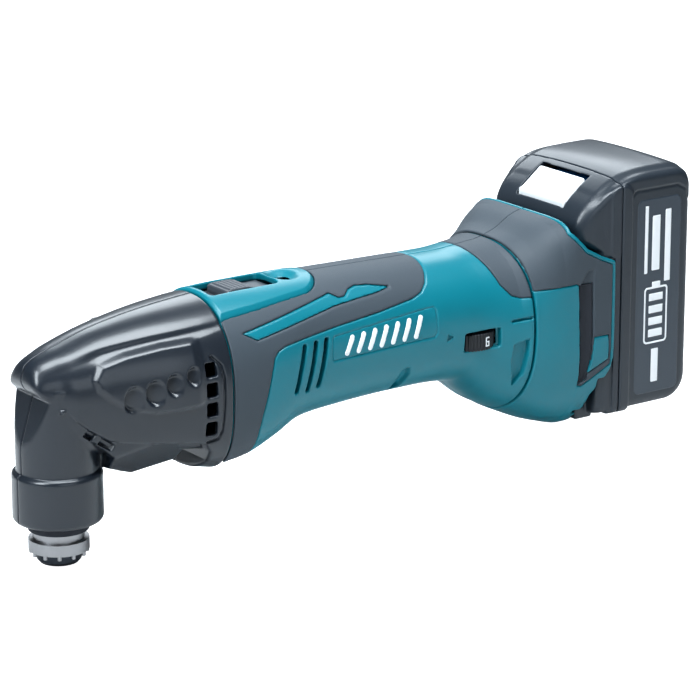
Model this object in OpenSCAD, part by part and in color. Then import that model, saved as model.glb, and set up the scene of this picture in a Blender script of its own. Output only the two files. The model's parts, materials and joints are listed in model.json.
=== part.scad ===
// Cordless oscillating multi-tool with a slide-on battery, as an assembly of its separate pieces.
// Origin: centre of the accessory seat on the spindle axis. +Z runs up the spindle, +X back to the
// battery, and -Y is the tool's right side, which carries the speed dial window.

/* [Housing] */
// Thickness of the moulded housing walls
wall = 2.6; // [2.2:0.1:2.8]
// Thickness of the elastomer grip over the housing
grip_t = 1.2; // [1:0.1:1.4]
// Height of the motor axis above the accessory seat
motor_z = 70; // [69.5:0.25:70.5]
// Where the head covers end and the motor housing starts
head_end = 68.4; // [68:0.1:68.8]

/* [Head] */
// Radius of the collar around the spindle
collar_r = 19.4; // [19.2:0.1:19.8]
// Height of the collar's lower edge
collar_z = 13; // [12.8:0.1:13.4]
// Radius of the accessory flange
flange_r = 13; // [12.9:0.05:13.2]
// Radius of the circle of locating pins
pin_circle_r = 11.8; // [11.7:0.05:11.9]
// Number of locating pins
pin_count = 12; // [6, 12]
// Radius of one locating pin
pin_r = 0.9; // [0.8:0.05:1]

/* [Drive] */
// Offset of the eccentric from the motor axis
eccentric = 0.9; // [0.7:0.1:1]
// Radius of the motor can
motor_r = 22; // [21:0.5:22]
// Radius of the cooling fan
fan_r = 26; // [24:0.5:26]
// Number of fan blades
blades = 12; // [8:1:16]
// Number of slots in the armature core
slots = 10; // [8:1:12]

/* [Battery] */
// Width of the battery
battery_w = 75; // [74:0.5:75.5]
// Underside of the battery
battery_z0 = 17.5; // [16.5:0.5:18]
// Top of the battery
battery_z1 = 131.5; // [130.5:0.5:132]
// Rear face of the battery
battery_x1 = 318; // [317:0.5:319]
// Radius of one cell
cell_r = 9.2; // [9:0.05:9.25]
// Length of one cell
cell_len = 65; // [64:0.5:65]

/* [Fits] */
// Radial running clearance of a shaft in its bore
run = 0.05; // [0.03:0.01:0.08]
// Clearance between parts that don't turn
gap = 0.2; // [0.1:0.05:0.25]

/* [Hidden] */

$fn = 64;

// Outer skin of the housings: x, top z, bottom z, half width, and height of the widest point
HEAD = [
    [-17, 77, 58, 7, 68], [-12, 85, 50, 12, 68], [0, 89.8, 42, 19.6, 66], [15, 94, 36, 22.8, 65],
    [31, 97.5, 30, 27, 64], [45, 99.6, 29.6, 30, 64], [59, 101, 26, 32, 64], [69, 101.6, 24.2, 32.6, 64]
];
HANDLE = [
    [68, 101.6, 24.2, 32.6, 64], [82, 102, 26.5, 32.6, 66], [97, 102, 31.5, 32, 69],
    [110, 102, 37.6, 31, 71], [125, 101.8, 39.6, 30.6, 71.5], [165, 101, 41.4, 30.2, 71.5],
    [198, 100.4, 39.8, 31, 71], [207, 101, 33.4, 32, 68], [214, 101.5, 28, 33.2, 65],
    [222, 102.2, 23.6, 34.8, 63], [232, 103.5, 19.5, 36.4, 62]
];
REAR = [
    [214, 101.5, 28, 33.4, 65], [222, 102.8, 23.6, 35.2, 62.5], [231, 106, 19, 37, 60],
    [240, 110, 15, 38.2, 59], [249, 112.4, 12, 38.5, 58], [256, 112.8, 10, 38.6, 58]
];

// Squareness of a section: 2 is an ellipse, and more is boxier
function squareness(x) = x < 69 ? 2.25 : x < 205 ? 2.2 : 2.2 + 2.6 * min(1, (x - 205) / 40);

// Smooth curve through the knots of column c
function span_of(x, t, i = 0) = i >= len(t) - 2 || x < t[i + 1][0] ? i : span_of(x, t, i + 1);
function slope(t, c, i) =
    let (a = max(0, i - 1), b = min(len(t) - 1, i + 1)) (t[b][c] - t[a][c]) / (t[b][0] - t[a][0]);
function curve(x, t, c) =
    let (i = span_of(x, t), h = t[i + 1][0] - t[i][0], s = (x - t[i][0]) / h)
    (2 * s ^ 3 - 3 * s ^ 2 + 1) * t[i][c] + (s ^ 3 - 2 * s ^ 2 + s) * h * slope(t, c, i)
    + (3 * s ^ 2 - 2 * s ^ 3) * t[i + 1][c] + (s ^ 3 - s ^ 2) * h * slope(t, c, i + 1);

// Point of the skin at x and angle a (0 at the side, 90 at the top), moved in by inset
function bend(v, n) = sign(v) * abs(v) ^ (2 / n);
function skin(t, x, a, inset) =
    let (n = squareness(x), zc = curve(x, t, 4), w = curve(x, t, 3) - inset)
    let (up = curve(x, t, 1) - zc - inset, down = zc - curve(x, t, 2) - inset)
    [x, w * bend(cos(a), n), zc + (sin(a) >= 0 ? up : down) * bend(sin(a), n)];

// Half width of the skin at height z
function half_width(t, x, z, inset) =
    let (n = squareness(x), zc = curve(x, t, 4), d = z - zc)
    let (h = (d >= 0 ? curve(x, t, 1) - zc : zc - curve(x, t, 2)) - inset)
    (curve(x, t, 3) - inset) * (1 - min(0.99, abs(d / h)) ^ n) ^ (1 / n);

// The seam between motor housing and rear housing is a shallow arc about a Y axis
seam_x = 28;
seam_z = 66;
seam_r = 200;

// Closed solid through a grid of rings, each a closed loop of the same number of points
module loft(rings) {
    m = len(rings);
    k = len(rings[0]);
    sides = [
        for (i = [0:m - 2]) for (j = [0:k - 1])
        let (a = i * k + j, b = i * k + (j + 1) % k, c = b + k, d = a + k)
        each [[a, c, b], [a, d, c]]
    ];
    ends = [[for (j = [0:k - 1]) j], [for (j = [k - 1:-1:0]) (m - 1) * k + j]];
    polyhedron(points = [for (r = rings) each r], faces = concat(sides, ends), convexity = 6);
}

ring_steps = 28;
side = 60;

// Closed solid of a skin moved in by inset
module skin_solid(t, xs, inset) {
    loft([for (x = xs) [for (j = [0:ring_steps - 1]) skin(t, x, 360 * j / ring_steps, inset)]]);
}
function stations(x0, x1, steps) = [for (i = [0:steps]) x0 + (x1 - x0) * i / steps];
// Shell between insets i0 and i1, open at both ends
module skin_shell(t, x0, x1, steps, i0, i1) {
    difference() {
        skin_solid(t, stations(x0, x1, steps), i0);
        skin_solid(t, concat([x0 - 1], stations(x0, x1, steps), [x1 + 1]), i1);
    }
}
// The left half of its children
module left_half() {
    intersection() {
        children();
        block([-40, 0, 0], [300, side, 140]);
    }
}
// Everything behind the seam arc, grown by extra
module behind_seam(extra = 0) {
    difference() {
        block([seam_x + 20, -side, 0], [300, side, 140]);
        rod_y(seam_r + extra, seam_x, seam_z, -side - 1, side + 1);
    }
}

module right_side() { mirror([0, 1, 0]) children(); }
module both_sides() {
    children();
    mirror([0, 1, 0]) children();
}
module rod_x(r, x0, x1, z = motor_z, y = 0) {
    translate([x0, y, z]) rotate([0, 90, 0]) cylinder(r = r, h = x1 - x0);
}
module ring_x(r, bore, x0, x1, z = motor_z) {
    difference() {
        rod_x(r, x0, x1, z);
        rod_x(bore, x0 - 1, x1 + 1, z);
    }
}
module rod_y(r, x, z, y0, y1) {
    translate([x, y1, z]) rotate([90, 0, 0]) cylinder(r = r, h = y1 - y0);
}
module rod_z(r, z0, z1, x = 0, y = 0) { translate([x, y, z0]) cylinder(r = r, h = z1 - z0); }
module ring_z(r, bore, z0, z1) {
    difference() {
        rod_z(r, z0, z1);
        rod_z(bore, z0 - 1, z1 + 1);
    }
}
module block(lo, hi) { translate(lo) cube(hi - lo); }
module slab(points, y0, y1) {
    rotate([90, 0, 0]) translate([0, 0, -y1]) linear_extrude(height = y1 - y0) polygon(points);
}
// Ball bearing about Z: one ring with a shield groove in each face
module bearing(r, bore, h) {
    mid = (r + bore) / 2;
    groove = (r - bore) / 4;
    difference() {
        cylinder(r = r, h = h);
        translate([0, 0, -1]) cylinder(r = bore, h = h + 2);
        for (z = [-1, h - 0.6]) translate([0, 0, z]) difference() {
            cylinder(r = mid + groove, h = 1.6);
            translate([0, 0, -1]) cylinder(r = mid - groove, h = 4);
        }
    }
}
// Tube of n flat sides along points
function unit(v) = v / norm(v);
function side_of(d) = abs(d[2]) > 0.9 ? unit(cross(d, [0, 1, 0])) : unit(cross(d, [0, 0, 1]));
module tube(path, r, n = 8) {
    last = len(path) - 1;
    loft([
        for (i = [0:last])
        let (d = unit(path[min(last, i + 1)] - path[max(0, i - 1)]), u = side_of(d), v = cross(d, u))
        [for (j = [0:n - 1]) path[i] + r * (cos(360 * j / n) * u + sin(360 * j / n) * v)]
    ]);
}
module coil(r, wire, len, turns) {
    per_turn = 14;
    steps = turns * per_turn;
    tube([
        for (i = [0:steps])
        [r * cos(360 * i / per_turn), r * sin(360 * i / per_turn), wire + (len - 2 * wire) * i / steps]
    ], wire, 6);
}
// Smooth path through a few points
function path_column(p, c) = [for (i = [0:len(p) - 1]) [i, p[i][c]]];
function smooth_path(p, per) = [
    for (i = [0:(len(p) - 1) * per])
    [for (c = [0:2]) curve(i / per, path_column(p, c), 1)]
];

// ---- Head ----
head_xs = [-17, -15, -12, -7, 0, 8, 16, 24, 31, 38, 45, 52, 59, head_end - gap];
head_in_xs = [-13, -8, 0, 10, 20, 31, 42, 54, head_end + 1];
head_screw_at = [[44, 37], [31, 89]];
led_x = 27;
led_r = 3;
vent_z = [52, 60, 68, 76];
module head_half() {
    left_half() difference() {
        union() {
            skin_solid(HEAD, head_xs, 0);
            rod_z(collar_r, collar_z, 37);
            rod_z(collar_r - 1.2, 36, 66);
        }
        difference() {
            skin_solid(HEAD, head_in_xs, wall);
            for (p = head_screw_at) rod_y(3.6, p[0], p[1], -1, 40);
        }
        rod_z(15.6, 16.6, 62.4);
        rod_z(flange_r + run, collar_z - 1, 18);
        rod_z(led_r + run, 20, 40, led_x);
        rod_z(led_r + 1.1, 34.9, 40, led_x);
        for (z = vent_z) block([55.5, 20, z - 3], [60.5, 40, z + 3]);
    }
}
module head_cover_right() {
    color("#2c333b") right_side() difference() {
        head_half();
        for (p = head_screw_at) rod_y(1.65, p[0], p[1], -1, 12.5);
    }
}
module head_cover_left() {
    color("#2c333b") difference() {
        head_half();
        for (p = head_screw_at) screw_hole(p);
    }
}
// Clearance hole and counterbore for a screw driven from the left
module screw_hole(p) {
    rod_y(1.65, p[0], p[1], -1, 40);
    rod_y(3.4, p[0], p[1], 16, 40);
}
module screw_y(x, z, tip, seat, top) {
    difference() {
        union() {
            rod_y(1.6, x, z, tip, seat + 0.5);
            rod_y(3, x, z, seat, top);
        }
        rod_y(1.2, x, z, top - 1.4, top + 1);
    }
}
module head_screws() {
    color("#8a8f94") for (p = head_screw_at) screw_y(p[0], p[1], -12, 16.2, 18.6);
}

// ---- Spindle and gear case ----
spindle_r = 6;
bolt_r = 3;
journal_r = 5;
lower_z = 20;
lower_h = 10;
upper_z = 74;
upper_h = 6;
lower_r = 14;
upper_r = 9.5;
fork_in = 8 + eccentric + 0.25;
plate_x = 50.5;
front_r = 8;
// Side plates between the spindle tower and the motor flange, clear of the covers' sloping shoulders
plate_y = 14.2;
plate_outline = [[0, 60], [plate_x + 1, 60], [plate_x + 1, 79.6], [16, 79.6], [0, 64.5]];
// What the sloping front of the neck leaves of the tower
tower_front = [[-20, 10], [-20, 38], [-7, 71.5], [-12, 90], [30, 90], [60, 90], [60, 10]];
module gear_case() {
    color("#a9adb1") difference() {
        union() {
            intersection() {
                union() {
                    rod_z(15.3, 18.4, 62);
                    rod_z(11.2, 61, 80.2);
                }
                slab(tower_front, -side, side);
            }
            both_sides() slab(plate_outline, plate_y, plate_y + 2.4);
            rod_x(27, plate_x, plate_x + 6);
        }
        rod_z(lower_r + 0.02, 0, lower_z + lower_h);
        rod_z(10.6, 25, upper_z - 0.4);
        rod_z(upper_r + 0.02, upper_z - 0.5, upper_z + upper_h);
        rod_z(journal_r + 1, upper_z, 90);
        block([0, -plate_y, 59], [plate_x, plate_y, 81]);
        rod_x(front_r + 0.02, plate_x - 1, plate_x + 7);
        for (a = [45:90:315]) rod_x(5, plate_x - 1, plate_x + 7, motor_z + 18 * sin(a), 18 * cos(a));
    }
}
module spindle() {
    color("#7d848b") difference() {
        union() {
            rod_z(flange_r, 0, 5);
            rod_z(11, 4, 8.4);
            rod_z(spindle_r, 8, upper_z - 0.5);
            rod_z(journal_r, upper_z - 1, upper_z + upper_h + 1);
            for (i = [0:pin_count - 1]) rotate([0, 0, 360 * i / pin_count])
                rod_z(pin_r, -1.8, 0.5, pin_circle_r);
        }
        rod_z(bolt_r + run, -3, 20);
    }
}
module spindle_bearing_lower() {
    color("#b9bec3") translate([0, 0, lower_z]) bearing(lower_r, spindle_r + run, lower_h - 0.02);
}
module spindle_bearing_upper() {
    color("#b9bec3") translate([0, 0, upper_z]) bearing(upper_r, journal_r + run, upper_h - 0.02);
}
module seal_ring() { color("#3a3f44") ring_z(flange_r, spindle_r + 0.08, 9, 18.2); }
module swing_fork() {
    color("#6f757b") difference() {
        union() {
            rod_z(10, 63, 73.4);
            block([5, -fork_in - 3, 65], [24, fork_in + 3, 73.4]);
            both_sides() block([20, fork_in, 66], [39, fork_in + 3, 75]);
        }
        rod_z(spindle_r + 0.02, 60, 80);
        block([24, -fork_in, 60], [40, fork_in, 80]);
    }
}
washer_r = 9.5;
washer_h = 5.6;
bolt_seat = -2.8;
module clamp_washer() {
    color("#3b4046") difference() {
        union() {
            rod_z(washer_r, 1.4 - washer_h, -0.05);
            translate([0, 0, -washer_h]) cylinder(r1 = washer_r - 1.2, r2 = washer_r, h = 1.41);
        }
        rod_z(bolt_r + run, -washer_h - 1, 1);
        rod_z(6.4, -washer_h - 1, bolt_seat);
    }
}
module clamp_bolt() {
    color("#2f3338") difference() {
        union() {
            rod_z(bolt_r, bolt_seat - 0.5, 16);
            translate([0, 0, -6]) cylinder(r1 = 5.2, r2 = 6, h = 0.8);
            rod_z(6, -5.2, bolt_seat - run);
        }
        translate([0, 0, -7]) cylinder(r = 2.9, h = 3, $fn = 6);
    }
}
module led_lens() {
    color("#dfe8ee") union() {
        rod_z(led_r, 31, 35.5, led_x);
        rod_z(led_r + 1, 35, 36.5, led_x);
    }
}
module led_board() {
    color("#2f6b3a") union() {
        block([led_x - 5, -5, 37.2], [led_x + 5, 5, 38.6]);
        block([led_x - 1.5, -1.5, 36.7], [led_x + 1.5, 1.5, 37.4]);
    }
}

// ---- Eccentric and motor ----
shaft_r = 2.5;
pin_x0 = 29;
disc_x = 39.6;
module eccentric_shaft() {
    color("#8c9298") difference() {
        union() {
            rod_x(3, pin_x0, disc_x + 1, motor_z + eccentric);
            rod_x(6, disc_x, 49.8);
        }
        rod_x(shaft_r + 0.02, 42, 51);
    }
}
module eccentric_bearing() {
    color("#c2c7cb") translate([30.4, 0, motor_z + eccentric]) rotate([0, 90, 0]) bearing(8, 3.02, 8);
}
module balance_weight() {
    color("#9a7b45") difference() {
        rod_x(12.5, 40.2, 45.8);
        rod_x(6.02, 39, 47);
        block([39, -13, motor_z + 2], [47, 13, motor_z + 14]);
    }
}
module motor_shaft() { color("#aeb3b8") rod_x(shaft_r, 42.2, 147.5); }
module armature_core() {
    color("#6a6e73") difference() {
        rod_x(16.5, 80, 120);
        rod_x(shaft_r + 0.02, 79, 121);
        for (i = [0:slots - 1]) translate([79, 0, motor_z]) rotate([360 * i / slots, 0, 0])
            translate([0, -1.5, 8]) cube([42, 3, 10]);
    }
}
module armature_windings() {
    color("#b5652c") union() {
        ring_x(15, 6, 74.5, 79.8);
        ring_x(15, 6, 120.2, 126.5);
        for (i = [0:slots - 1]) translate([78, 0, motor_z]) rotate([360 * i / slots, 0, 0])
            translate([0, -1.35, 8.2]) cube([44, 2.7, 6.2]);
    }
}
module commutator() {
    color("#c07a45") difference() {
        rod_x(7.5, 127.5, 137.5);
        rod_x(shaft_r + 0.02, 127, 138);
        for (i = [0:slots - 1]) translate([127, 0, motor_z]) rotate([360 * i / slots, 0, 0])
            translate([0, -0.25, 6.6]) cube([9, 0.5, 2]);
    }
}
fan_x = 58;
module cooling_fan() {
    color("#22262a") difference() {
        union() {
            rod_x(6, fan_x, fan_x + 9.5);
            rod_x(fan_r, fan_x + 8, fan_x + 9.5);
            for (i = [0:blades - 1]) translate([fan_x, 0, motor_z]) rotate([360 * i / blades, 0, 0])
                translate([0, -0.6, 5]) cube([8.5, 1.2, fan_r - 6]);
        }
        rod_x(shaft_r + 0.02, fan_x - 1, fan_x + 11);
    }
}
module motor_can() {
    color("#5b6066") difference() {
        rod_x(motor_r, 70, 138);
        rod_x(motor_r - 1.5, 71.5, 139);
        rod_x(5, 69, 73);
        for (a = [0:60:300]) rod_x(2.6, 69, 73, motor_z + 13 * sin(a), 13 * cos(a));
    }
}
module magnets() {
    color("#3d4146") for (s = [0, 180]) rotate([s, 0, 0]) translate([0, 0, s == 0 ? 0 : -2 * motor_z])
        intersection() {
            ring_x(motor_r - 1.6, 17.3, 76, 124);
            block([75, -20.5, motor_z + 8], [125, 20.5, motor_z + 22]);
        }
}
module front_bearing() {
    color("#b9bec3") translate([plate_x, 0, motor_z]) rotate([0, 90, 0]) bearing(front_r, shaft_r + run, 6);
}
module rear_bearing() {
    color("#b9bec3") translate([140.2, 0, motor_z]) rotate([0, 90, 0]) bearing(6.5, shaft_r + run, 5.6);
}
brush_y0 = 7.6;
brush_y1 = 14;
module brush_holder() {
    color("#3a342c") difference() {
        union() {
            rod_x(motor_r - 0.2, 138.2, 146);
            both_sides() block([128, 9, motor_z - 4.4], [140, 19.6, motor_z + 4.4]);
        }
        rod_x(6.52, 137, 147);
        both_sides() block([129.4, 8, motor_z - 3.1], [137.6, 18.4, motor_z + 3.1]);
    }
}
module carbon_brushes() {
    color("#26282b") both_sides() block([130, brush_y0, motor_z - 3], [137, brush_y1, motor_z + 3]);
}
module brush_springs() {
    color("#c9c3a8") both_sides() translate([133.5, brush_y1 + 0.1, motor_z]) rotate([-90, 0, 0])
        coil(2, 0.35, 4.2, 3);
}

// ---- Handle ----
boss_r = 4.2;
handle_screw_at = [[94, 42], [158, 54], [196, 88]];
dial_x = 202;
dial_y = -19.6;
dial_r = 12;
dial_z0 = 59.5;
dial_z1 = 67.5;
module handle_bosses(t, at) {
    for (p = at) rod_y(boss_r, p[0], p[1], 0, half_width(t, p[0], p[1], grip_t + wall / 2));
}
module handle_half() {
    left_half() difference() {
        skin_shell(HANDLE, head_end + gap, 231, 18, grip_t, grip_t + wall);
        behind_seam();
    }
    handle_bosses(HANDLE, handle_screw_at);
}
module slanted_vents() {
    for (i = [0:2]) translate([103.5 + 6 * i, 20, 56]) rotate([0, 14, 0]) cube([2.2, 20, 22]);
}
module switch_cut() { block([68, -1, 96], [129, 17.2, 110]); }
module motor_housing_right() {
    color("#0f7f93") right_side() difference() {
        handle_half();
        for (p = handle_screw_at) rod_y(1.65, p[0], p[1], -1, 12.5);
        slanted_vents();
        switch_cut();
        block([dial_x - 11.4, 22, dial_z0 - 0.6], [dial_x + 11.4, 40, dial_z1 + 0.6]);
    }
}
module motor_housing_left() {
    color("#0f7f93") difference() {
        handle_half();
        for (p = handle_screw_at) screw_hole(p);
        slanted_vents();
        switch_cut();
    }
}
module housing_screws() {
    color("#8a8f94") for (p = concat(handle_screw_at, rear_screw_at)) screw_y(p[0], p[1], -12, 16.2, 18.6);
}
// Side outline of the grip: it wraps the front of the handle and tapers back along the top
grip_outline = [
    [head_end + 0.6, 15], [head_end + 0.6, 110], [184, 110], [183, 100], [180, 97], [176, 92.5], [170, 88],
    [148, 85], [123, 83], [103, 80.5], [93, 78.5], [89, 74], [86.5, 62], [83.5, 50], [83, 36], [81, 15]
];
module grip_half() {
    left_half() difference() {
        intersection() {
            skin_shell(HANDLE, head_end + gap, 231, 18, 0, grip_t - 0.05);
            slab(grip_outline, -1, side);
        }
        block([60, -1, 92], [129, 17.4, 110]);
    }
}
module grip_right() { color("#62676d") right_side() grip_half(); }
module grip_left() { color("#62676d") grip_half(); }
slider_x0 = 80;
slider_x1 = 97;
travel = 8;
function bezel_outline() = concat(
    [[head_end + 0.8, -17], [head_end + 0.8, 17], [116, 17]],
    [for (a = [80:-20:-80]) [116 + 12.5 * cos(a), 17 * sin(a)]],
    [[116, -17]]
);
module switch_bezel() {
    color("#2aa5b8") difference() {
        intersection() {
            translate([0, 0, 96.8]) linear_extrude(height = 6) polygon(bezel_outline());
            skin_shell(HANDLE, head_end + 0.8, 129, 8, 0, 2.4);
        }
        block([slider_x0 - travel - 0.3, -8.2, 95], [107, 8.2, 105]);
    }
}
module switch_slider() {
    color("#4c5157") difference() {
        union() {
            block([slider_x0 - 0.5, -10, 96.4], [108, 10, 97.4]);
            block([slider_x0, -7.8, 97], [106.6, 7.8, 99.6]);
            block([slider_x0, -7.8, 98], [slider_x1, 7.8, 103.4]);
        }
        for (x = [83.5:3:95]) rod_y(0.7, x, 103.6, -9, 9);
    }
}
module switch_rod() {
    color("#25292d") union() {
        block([86, -3, 94.4], [150, 3, 96.4]);
        block([146, -3, 92.4], [150, 3, 95]);
    }
}
module switch_body() {
    color("#2b2f33") union() {
        block([152, -9, 78], [178, 9, 95]);
        block([150.6, -3, 90.5], [152.5, 3, 94.4]);
    }
}
module speed_dial() {
    color("#3a3f45") difference() {
        rod_z(dial_r, dial_z0, dial_z1, dial_x, dial_y);
        rod_z(2 + run, dial_z0 - 1, dial_z1 + 1, dial_x, dial_y);
        for (i = [0:29]) translate([dial_x, dial_y, 0]) rotate([0, 0, 12 * i])
            rod_z(0.5, dial_z0 - 1, dial_z1 + 1, dial_r + 0.15);
    }
}
module dial_board() {
    color("#2f6b3a") union() {
        block([190, -21.5, 56.5], [212, -10, 58]);
        rod_z(2, 57, 70, dial_x, dial_y);
    }
}
module badge_plates() {
    color("#1b96aa") both_sides() block([124, 29.6, 66], [174, 30.6, 77]);
}
function wire_points(side) = [
    [148.4, 9 * side, 65], [153, 12 * side, 62], [166, 13 * side, 62], [186, 8 * side, 66],
    [206, 5 * side, 70], [216, 8 * side, 62], [228, 10 * side, 50], [237.5, 10 * side, 45]
];
module wiring() {
    color("#a8322c") for (side = [-1, 1]) tube(smooth_path(wire_points(side), 4), 1.3, 6);
}
module controller_board() {
    color("#2f6b3a") union() {
        block([212, -22, 76], [240, 22, 77.6]);
        block([216, -18, 77], [230, -4, 86]);
        rod_z(5, 77, 90, 232, 10);
    }
}

// ---- Rear housing ----
back_x = 256;
channel_x = 264;
rear_screw_at = [[240, 30], [244, 72]];
pocket_y = 9;
rear_x0 = 218;
// The housing's rim stands forward of the battery at the top and falls back down each side
rim_cut = [[248.7, 125], [248.7, 107.4], [back_x + 0.1, 99.2], [272, 99.2], [272, 125]];
// Side flanges that lap the battery's flanks
flange_y = 36;
flange_x = 271.6;
module rear_half() {
    difference() {
        union() {
            left_half() intersection() {
                skin_shell(REAR, rear_x0, back_x, 10, grip_t, grip_t + wall);
                behind_seam(gap);
            }
            handle_bosses(REAR, rear_screw_at);
            intersection() {
                block([245, 0, 90], [247.6, side, 112]);
                skin_solid(REAR, stations(240, 252, 3), grip_t + 0.5);
            }
            block([channel_x - 2, flange_y, 30], [flange_x, 37.5, 91.5]);
            block([back_x - 4, 0, 16], [back_x, 34, 80]);
            block([back_x - 4, 0, 79], [back_x, 31, 98]);
            block([back_x - 0.5, 28, 18], [channel_x, 37.4, 81]);
            block([back_x + 0.05, 28, 80], [channel_x, 37.4, 95]);
            block([back_x - 0.5, 0, 10], [channel_x, 36, 19]);
            block([260, 25.6, 18], [channel_x, 30, 95]);
        }
        block([back_x - 5, -1, 36], [back_x + 1, 22.4, 64]);
        block([252.6, -1, 92], [back_x + 1, pocket_y, 120]);
        slab(rim_cut, -1, side);
    }
}
module rear_housing_right() {
    color("#0f7f93") right_side() difference() {
        rear_half();
        for (p = rear_screw_at) rod_y(1.65, p[0], p[1], -1, 12.5);
    }
}
module rear_housing_left() {
    color("#0f7f93") difference() {
        rear_half();
        for (p = rear_screw_at) screw_hole(p);
    }
}
rear_grip_outline = [[200, 79], [226, 79.5], [256, 82.5], [256, 120], [200, 120]];
module rear_grip_half() {
    left_half() difference() {
        intersection() {
            skin_shell(REAR, rear_x0, back_x, 10, 0, grip_t - 0.05);
            slab(rear_grip_outline, -1, side);
            behind_seam(gap);
        }
        block([252.6, -1, 92], [back_x + 1, pocket_y, 120]);
        slab(rim_cut, -1, side);
    }
}
module rear_grip_right() { color("#4b5157") right_side() rear_grip_half(); }
module rear_grip_left() { color("#4b5157") rear_grip_half(); }
blade_y = 12;
module terminal_block() {
    color("#23272b") difference() {
        block([240, -22, 36.4], [255.8, 22, 63.6]);
        for (s = [-1, 1]) block([239, blade_y * s - 0.55, 40], [257, blade_y * s + 0.55, 58]);
    }
}
module terminal_blades() {
    color("#c9a45a") both_sides() block([241, blade_y - 0.5, 40.1], [262.4, blade_y + 0.5, 57.9]);
}

// ---- Battery ----
cover_x = 264.6;
split_x = 276;
half_w = battery_w / 2;
case_wall = 2.6;
inner_y = half_w - case_wall;
corner = 13;
mid_z = (battery_z0 + battery_z1) / 2;
cell_pitch = 2 * cell_r + 0.4;
cell_xs = [286, 286 + 2 * cell_r + 0.3];
post_at = [for (y = [-1, 1]) for (z = [battery_z0 + 5.6, battery_z1 - 6.6]) [y * (half_w - 5.6), z]];
function seat_at(p) = p[1] < mid_z ? cover_x + 3 : 274.6;
function corner_arc(cx, cz, from) = [
    for (a = [from:15:from + 90]) [cx + corner * cos(a), cz + corner * sin(a)]
];
module battery_case() {
    outline = concat(
        [[split_x, battery_z0]],
        corner_arc(battery_x1 - corner, battery_z0 + corner, -90),
        corner_arc(battery_x1 - corner, battery_z1 - corner, 0),
        [[split_x, battery_z1]]
    );
    color("#3d454e") difference() {
        union() {
            difference() {
                slab(outline, -half_w, half_w);
                block([split_x - 1, -inner_y, battery_z0 + case_wall],
                      [battery_x1 - 11, inner_y, battery_z1 - case_wall]);
                block([split_x - 1, -inner_y, battery_z0 + 9],
                      [battery_x1 - case_wall, inner_y, battery_z1 - 9]);
            }
            for (p = post_at) rod_x(3, split_x, split_x + 16, p[1], p[0]);
        }
        for (p = post_at) rod_x(1.55, split_x - 1, split_x + 12, p[1], p[0]);
    }
}
hump = [
    [cover_x, 101], [258, 105], [258, 116.6], [split_x - 3, battery_z1 - 1.4], [split_x, battery_z1],
    [split_x, 101]
];
cover_in_y = 33;
cover_brow = [
    [cover_x, 108], [split_x, 108], [split_x, battery_z1], [split_x - 4, battery_z1 - 3], [cover_x, 116]
];
module battery_cover() {
    color("#3d454e") difference() {
        union() {
            block([cover_x, -half_w, battery_z0], [split_x, half_w, 110]);
            slab(cover_brow, -half_w, half_w);
            slab(hump, -27, 27);
            block([259.8, -25, 24], [cover_x + 1, 25, 103]);
            block([256.6, -27.4, 24], [259.7, 27.4, 99]);
            block([259, -20, 24], [260.5, 20, 99]);
        }
        both_sides() block([cover_x - 1, flange_y - 0.4, battery_z0 - 1], [flange_x + 0.4, side, 95.4]);
        block([cover_x + 3, -cover_in_y, battery_z0 + case_wall], [split_x + 1, cover_in_y, 99]);
        block([255, -17, 91.5], [split_x - 1.2, 17, 129]);
        slab([[250, 91], [250, 112], [split_x - 1.2, 133], [split_x - 1.2, 91]], -17, 17);
        both_sides() block([255, blade_y - 3, 20], [263.4, blade_y + 3, 74]);
        for (p = post_at) rod_x(1.65, cover_x - 1, split_x + 1, p[1], p[0]);
        for (p = post_at) rod_x(3.2, cover_x - 1, seat_at(p), p[1], p[0]);
    }
}
module battery_screws() {
    color("#8a8f94") for (p = post_at) union() {
        rod_x(1.5, seat_at(p) - 0.5, split_x + 11, p[1], p[0]);
        rod_x(3, seat_at(p) - 2.4, seat_at(p) - 0.1, p[1], p[0]);
    }
}
module each_cell() {
    for (x = cell_xs) for (i = [-2:2]) translate([x, 0, mid_z + i * cell_pitch]) children();
}
module battery_cells() {
    color("#3f7fb5") each_cell() rotate([90, 0, 0]) translate([0, 0, -cell_len / 2])
        cylinder(r = cell_r, h = cell_len);
}
module cell_holders() {
    color("#d8d4c8") both_sides() difference() {
        block([cell_xs[0] - cell_r - 0.4, 24, mid_z - 2.5 * cell_pitch - 0.3],
              [cell_xs[1] + cell_r + 0.4, 29, mid_z + 2.5 * cell_pitch + 0.3]);
        each_cell() rod_y(cell_r + 0.03, 0, 0, -40, 40);
    }
}
module cell_straps() {
    color("#c8c8c4") both_sides() for (i = [-2:2])
        block([cell_xs[0] - 4, cell_len / 2 + 0.05, mid_z + i * cell_pitch - 4],
              [cell_xs[1] + 4, cell_len / 2 + 0.35, mid_z + i * cell_pitch + 4]);
}
module battery_board() {
    color("#2f6b3a") union() {
        block([269.5, -26, 28], [271, 26, 88]);
        block([270.5, -20, 66], [274, -6, 80]);
    }
}
module battery_contacts() {
    color("#c9a45a") both_sides() for (d = [-1.4, 1.4])
        block([258, blade_y + d - 0.4, 42], [263.2, blade_y + d + 0.4, 56]);
}
module battery_label() {
    color("#596470") both_sides() block([284, half_w + 0.02, 34], [309, half_w + 0.3, 118]);
}
button_outline = [[258.4, 100], [258.4, 116.2], [270.6, 127.4], [270.6, 124], [262, 116], [262, 100]];
module latch_button() {
    color("#e8ecef") union() {
        slab(button_outline, -16.4, 16.4);
        block([258.4, -8, 93], [262, 8, 101]);
        block([253.6, -8, 93.4], [259, 8, 98.6]);
    }
}
module latch_spring() {
    color("#c9c3a8") translate([262.1, 0, 106]) rotate([0, 90, 0]) coil(3, 0.45, 11.6, 4);
}

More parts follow.
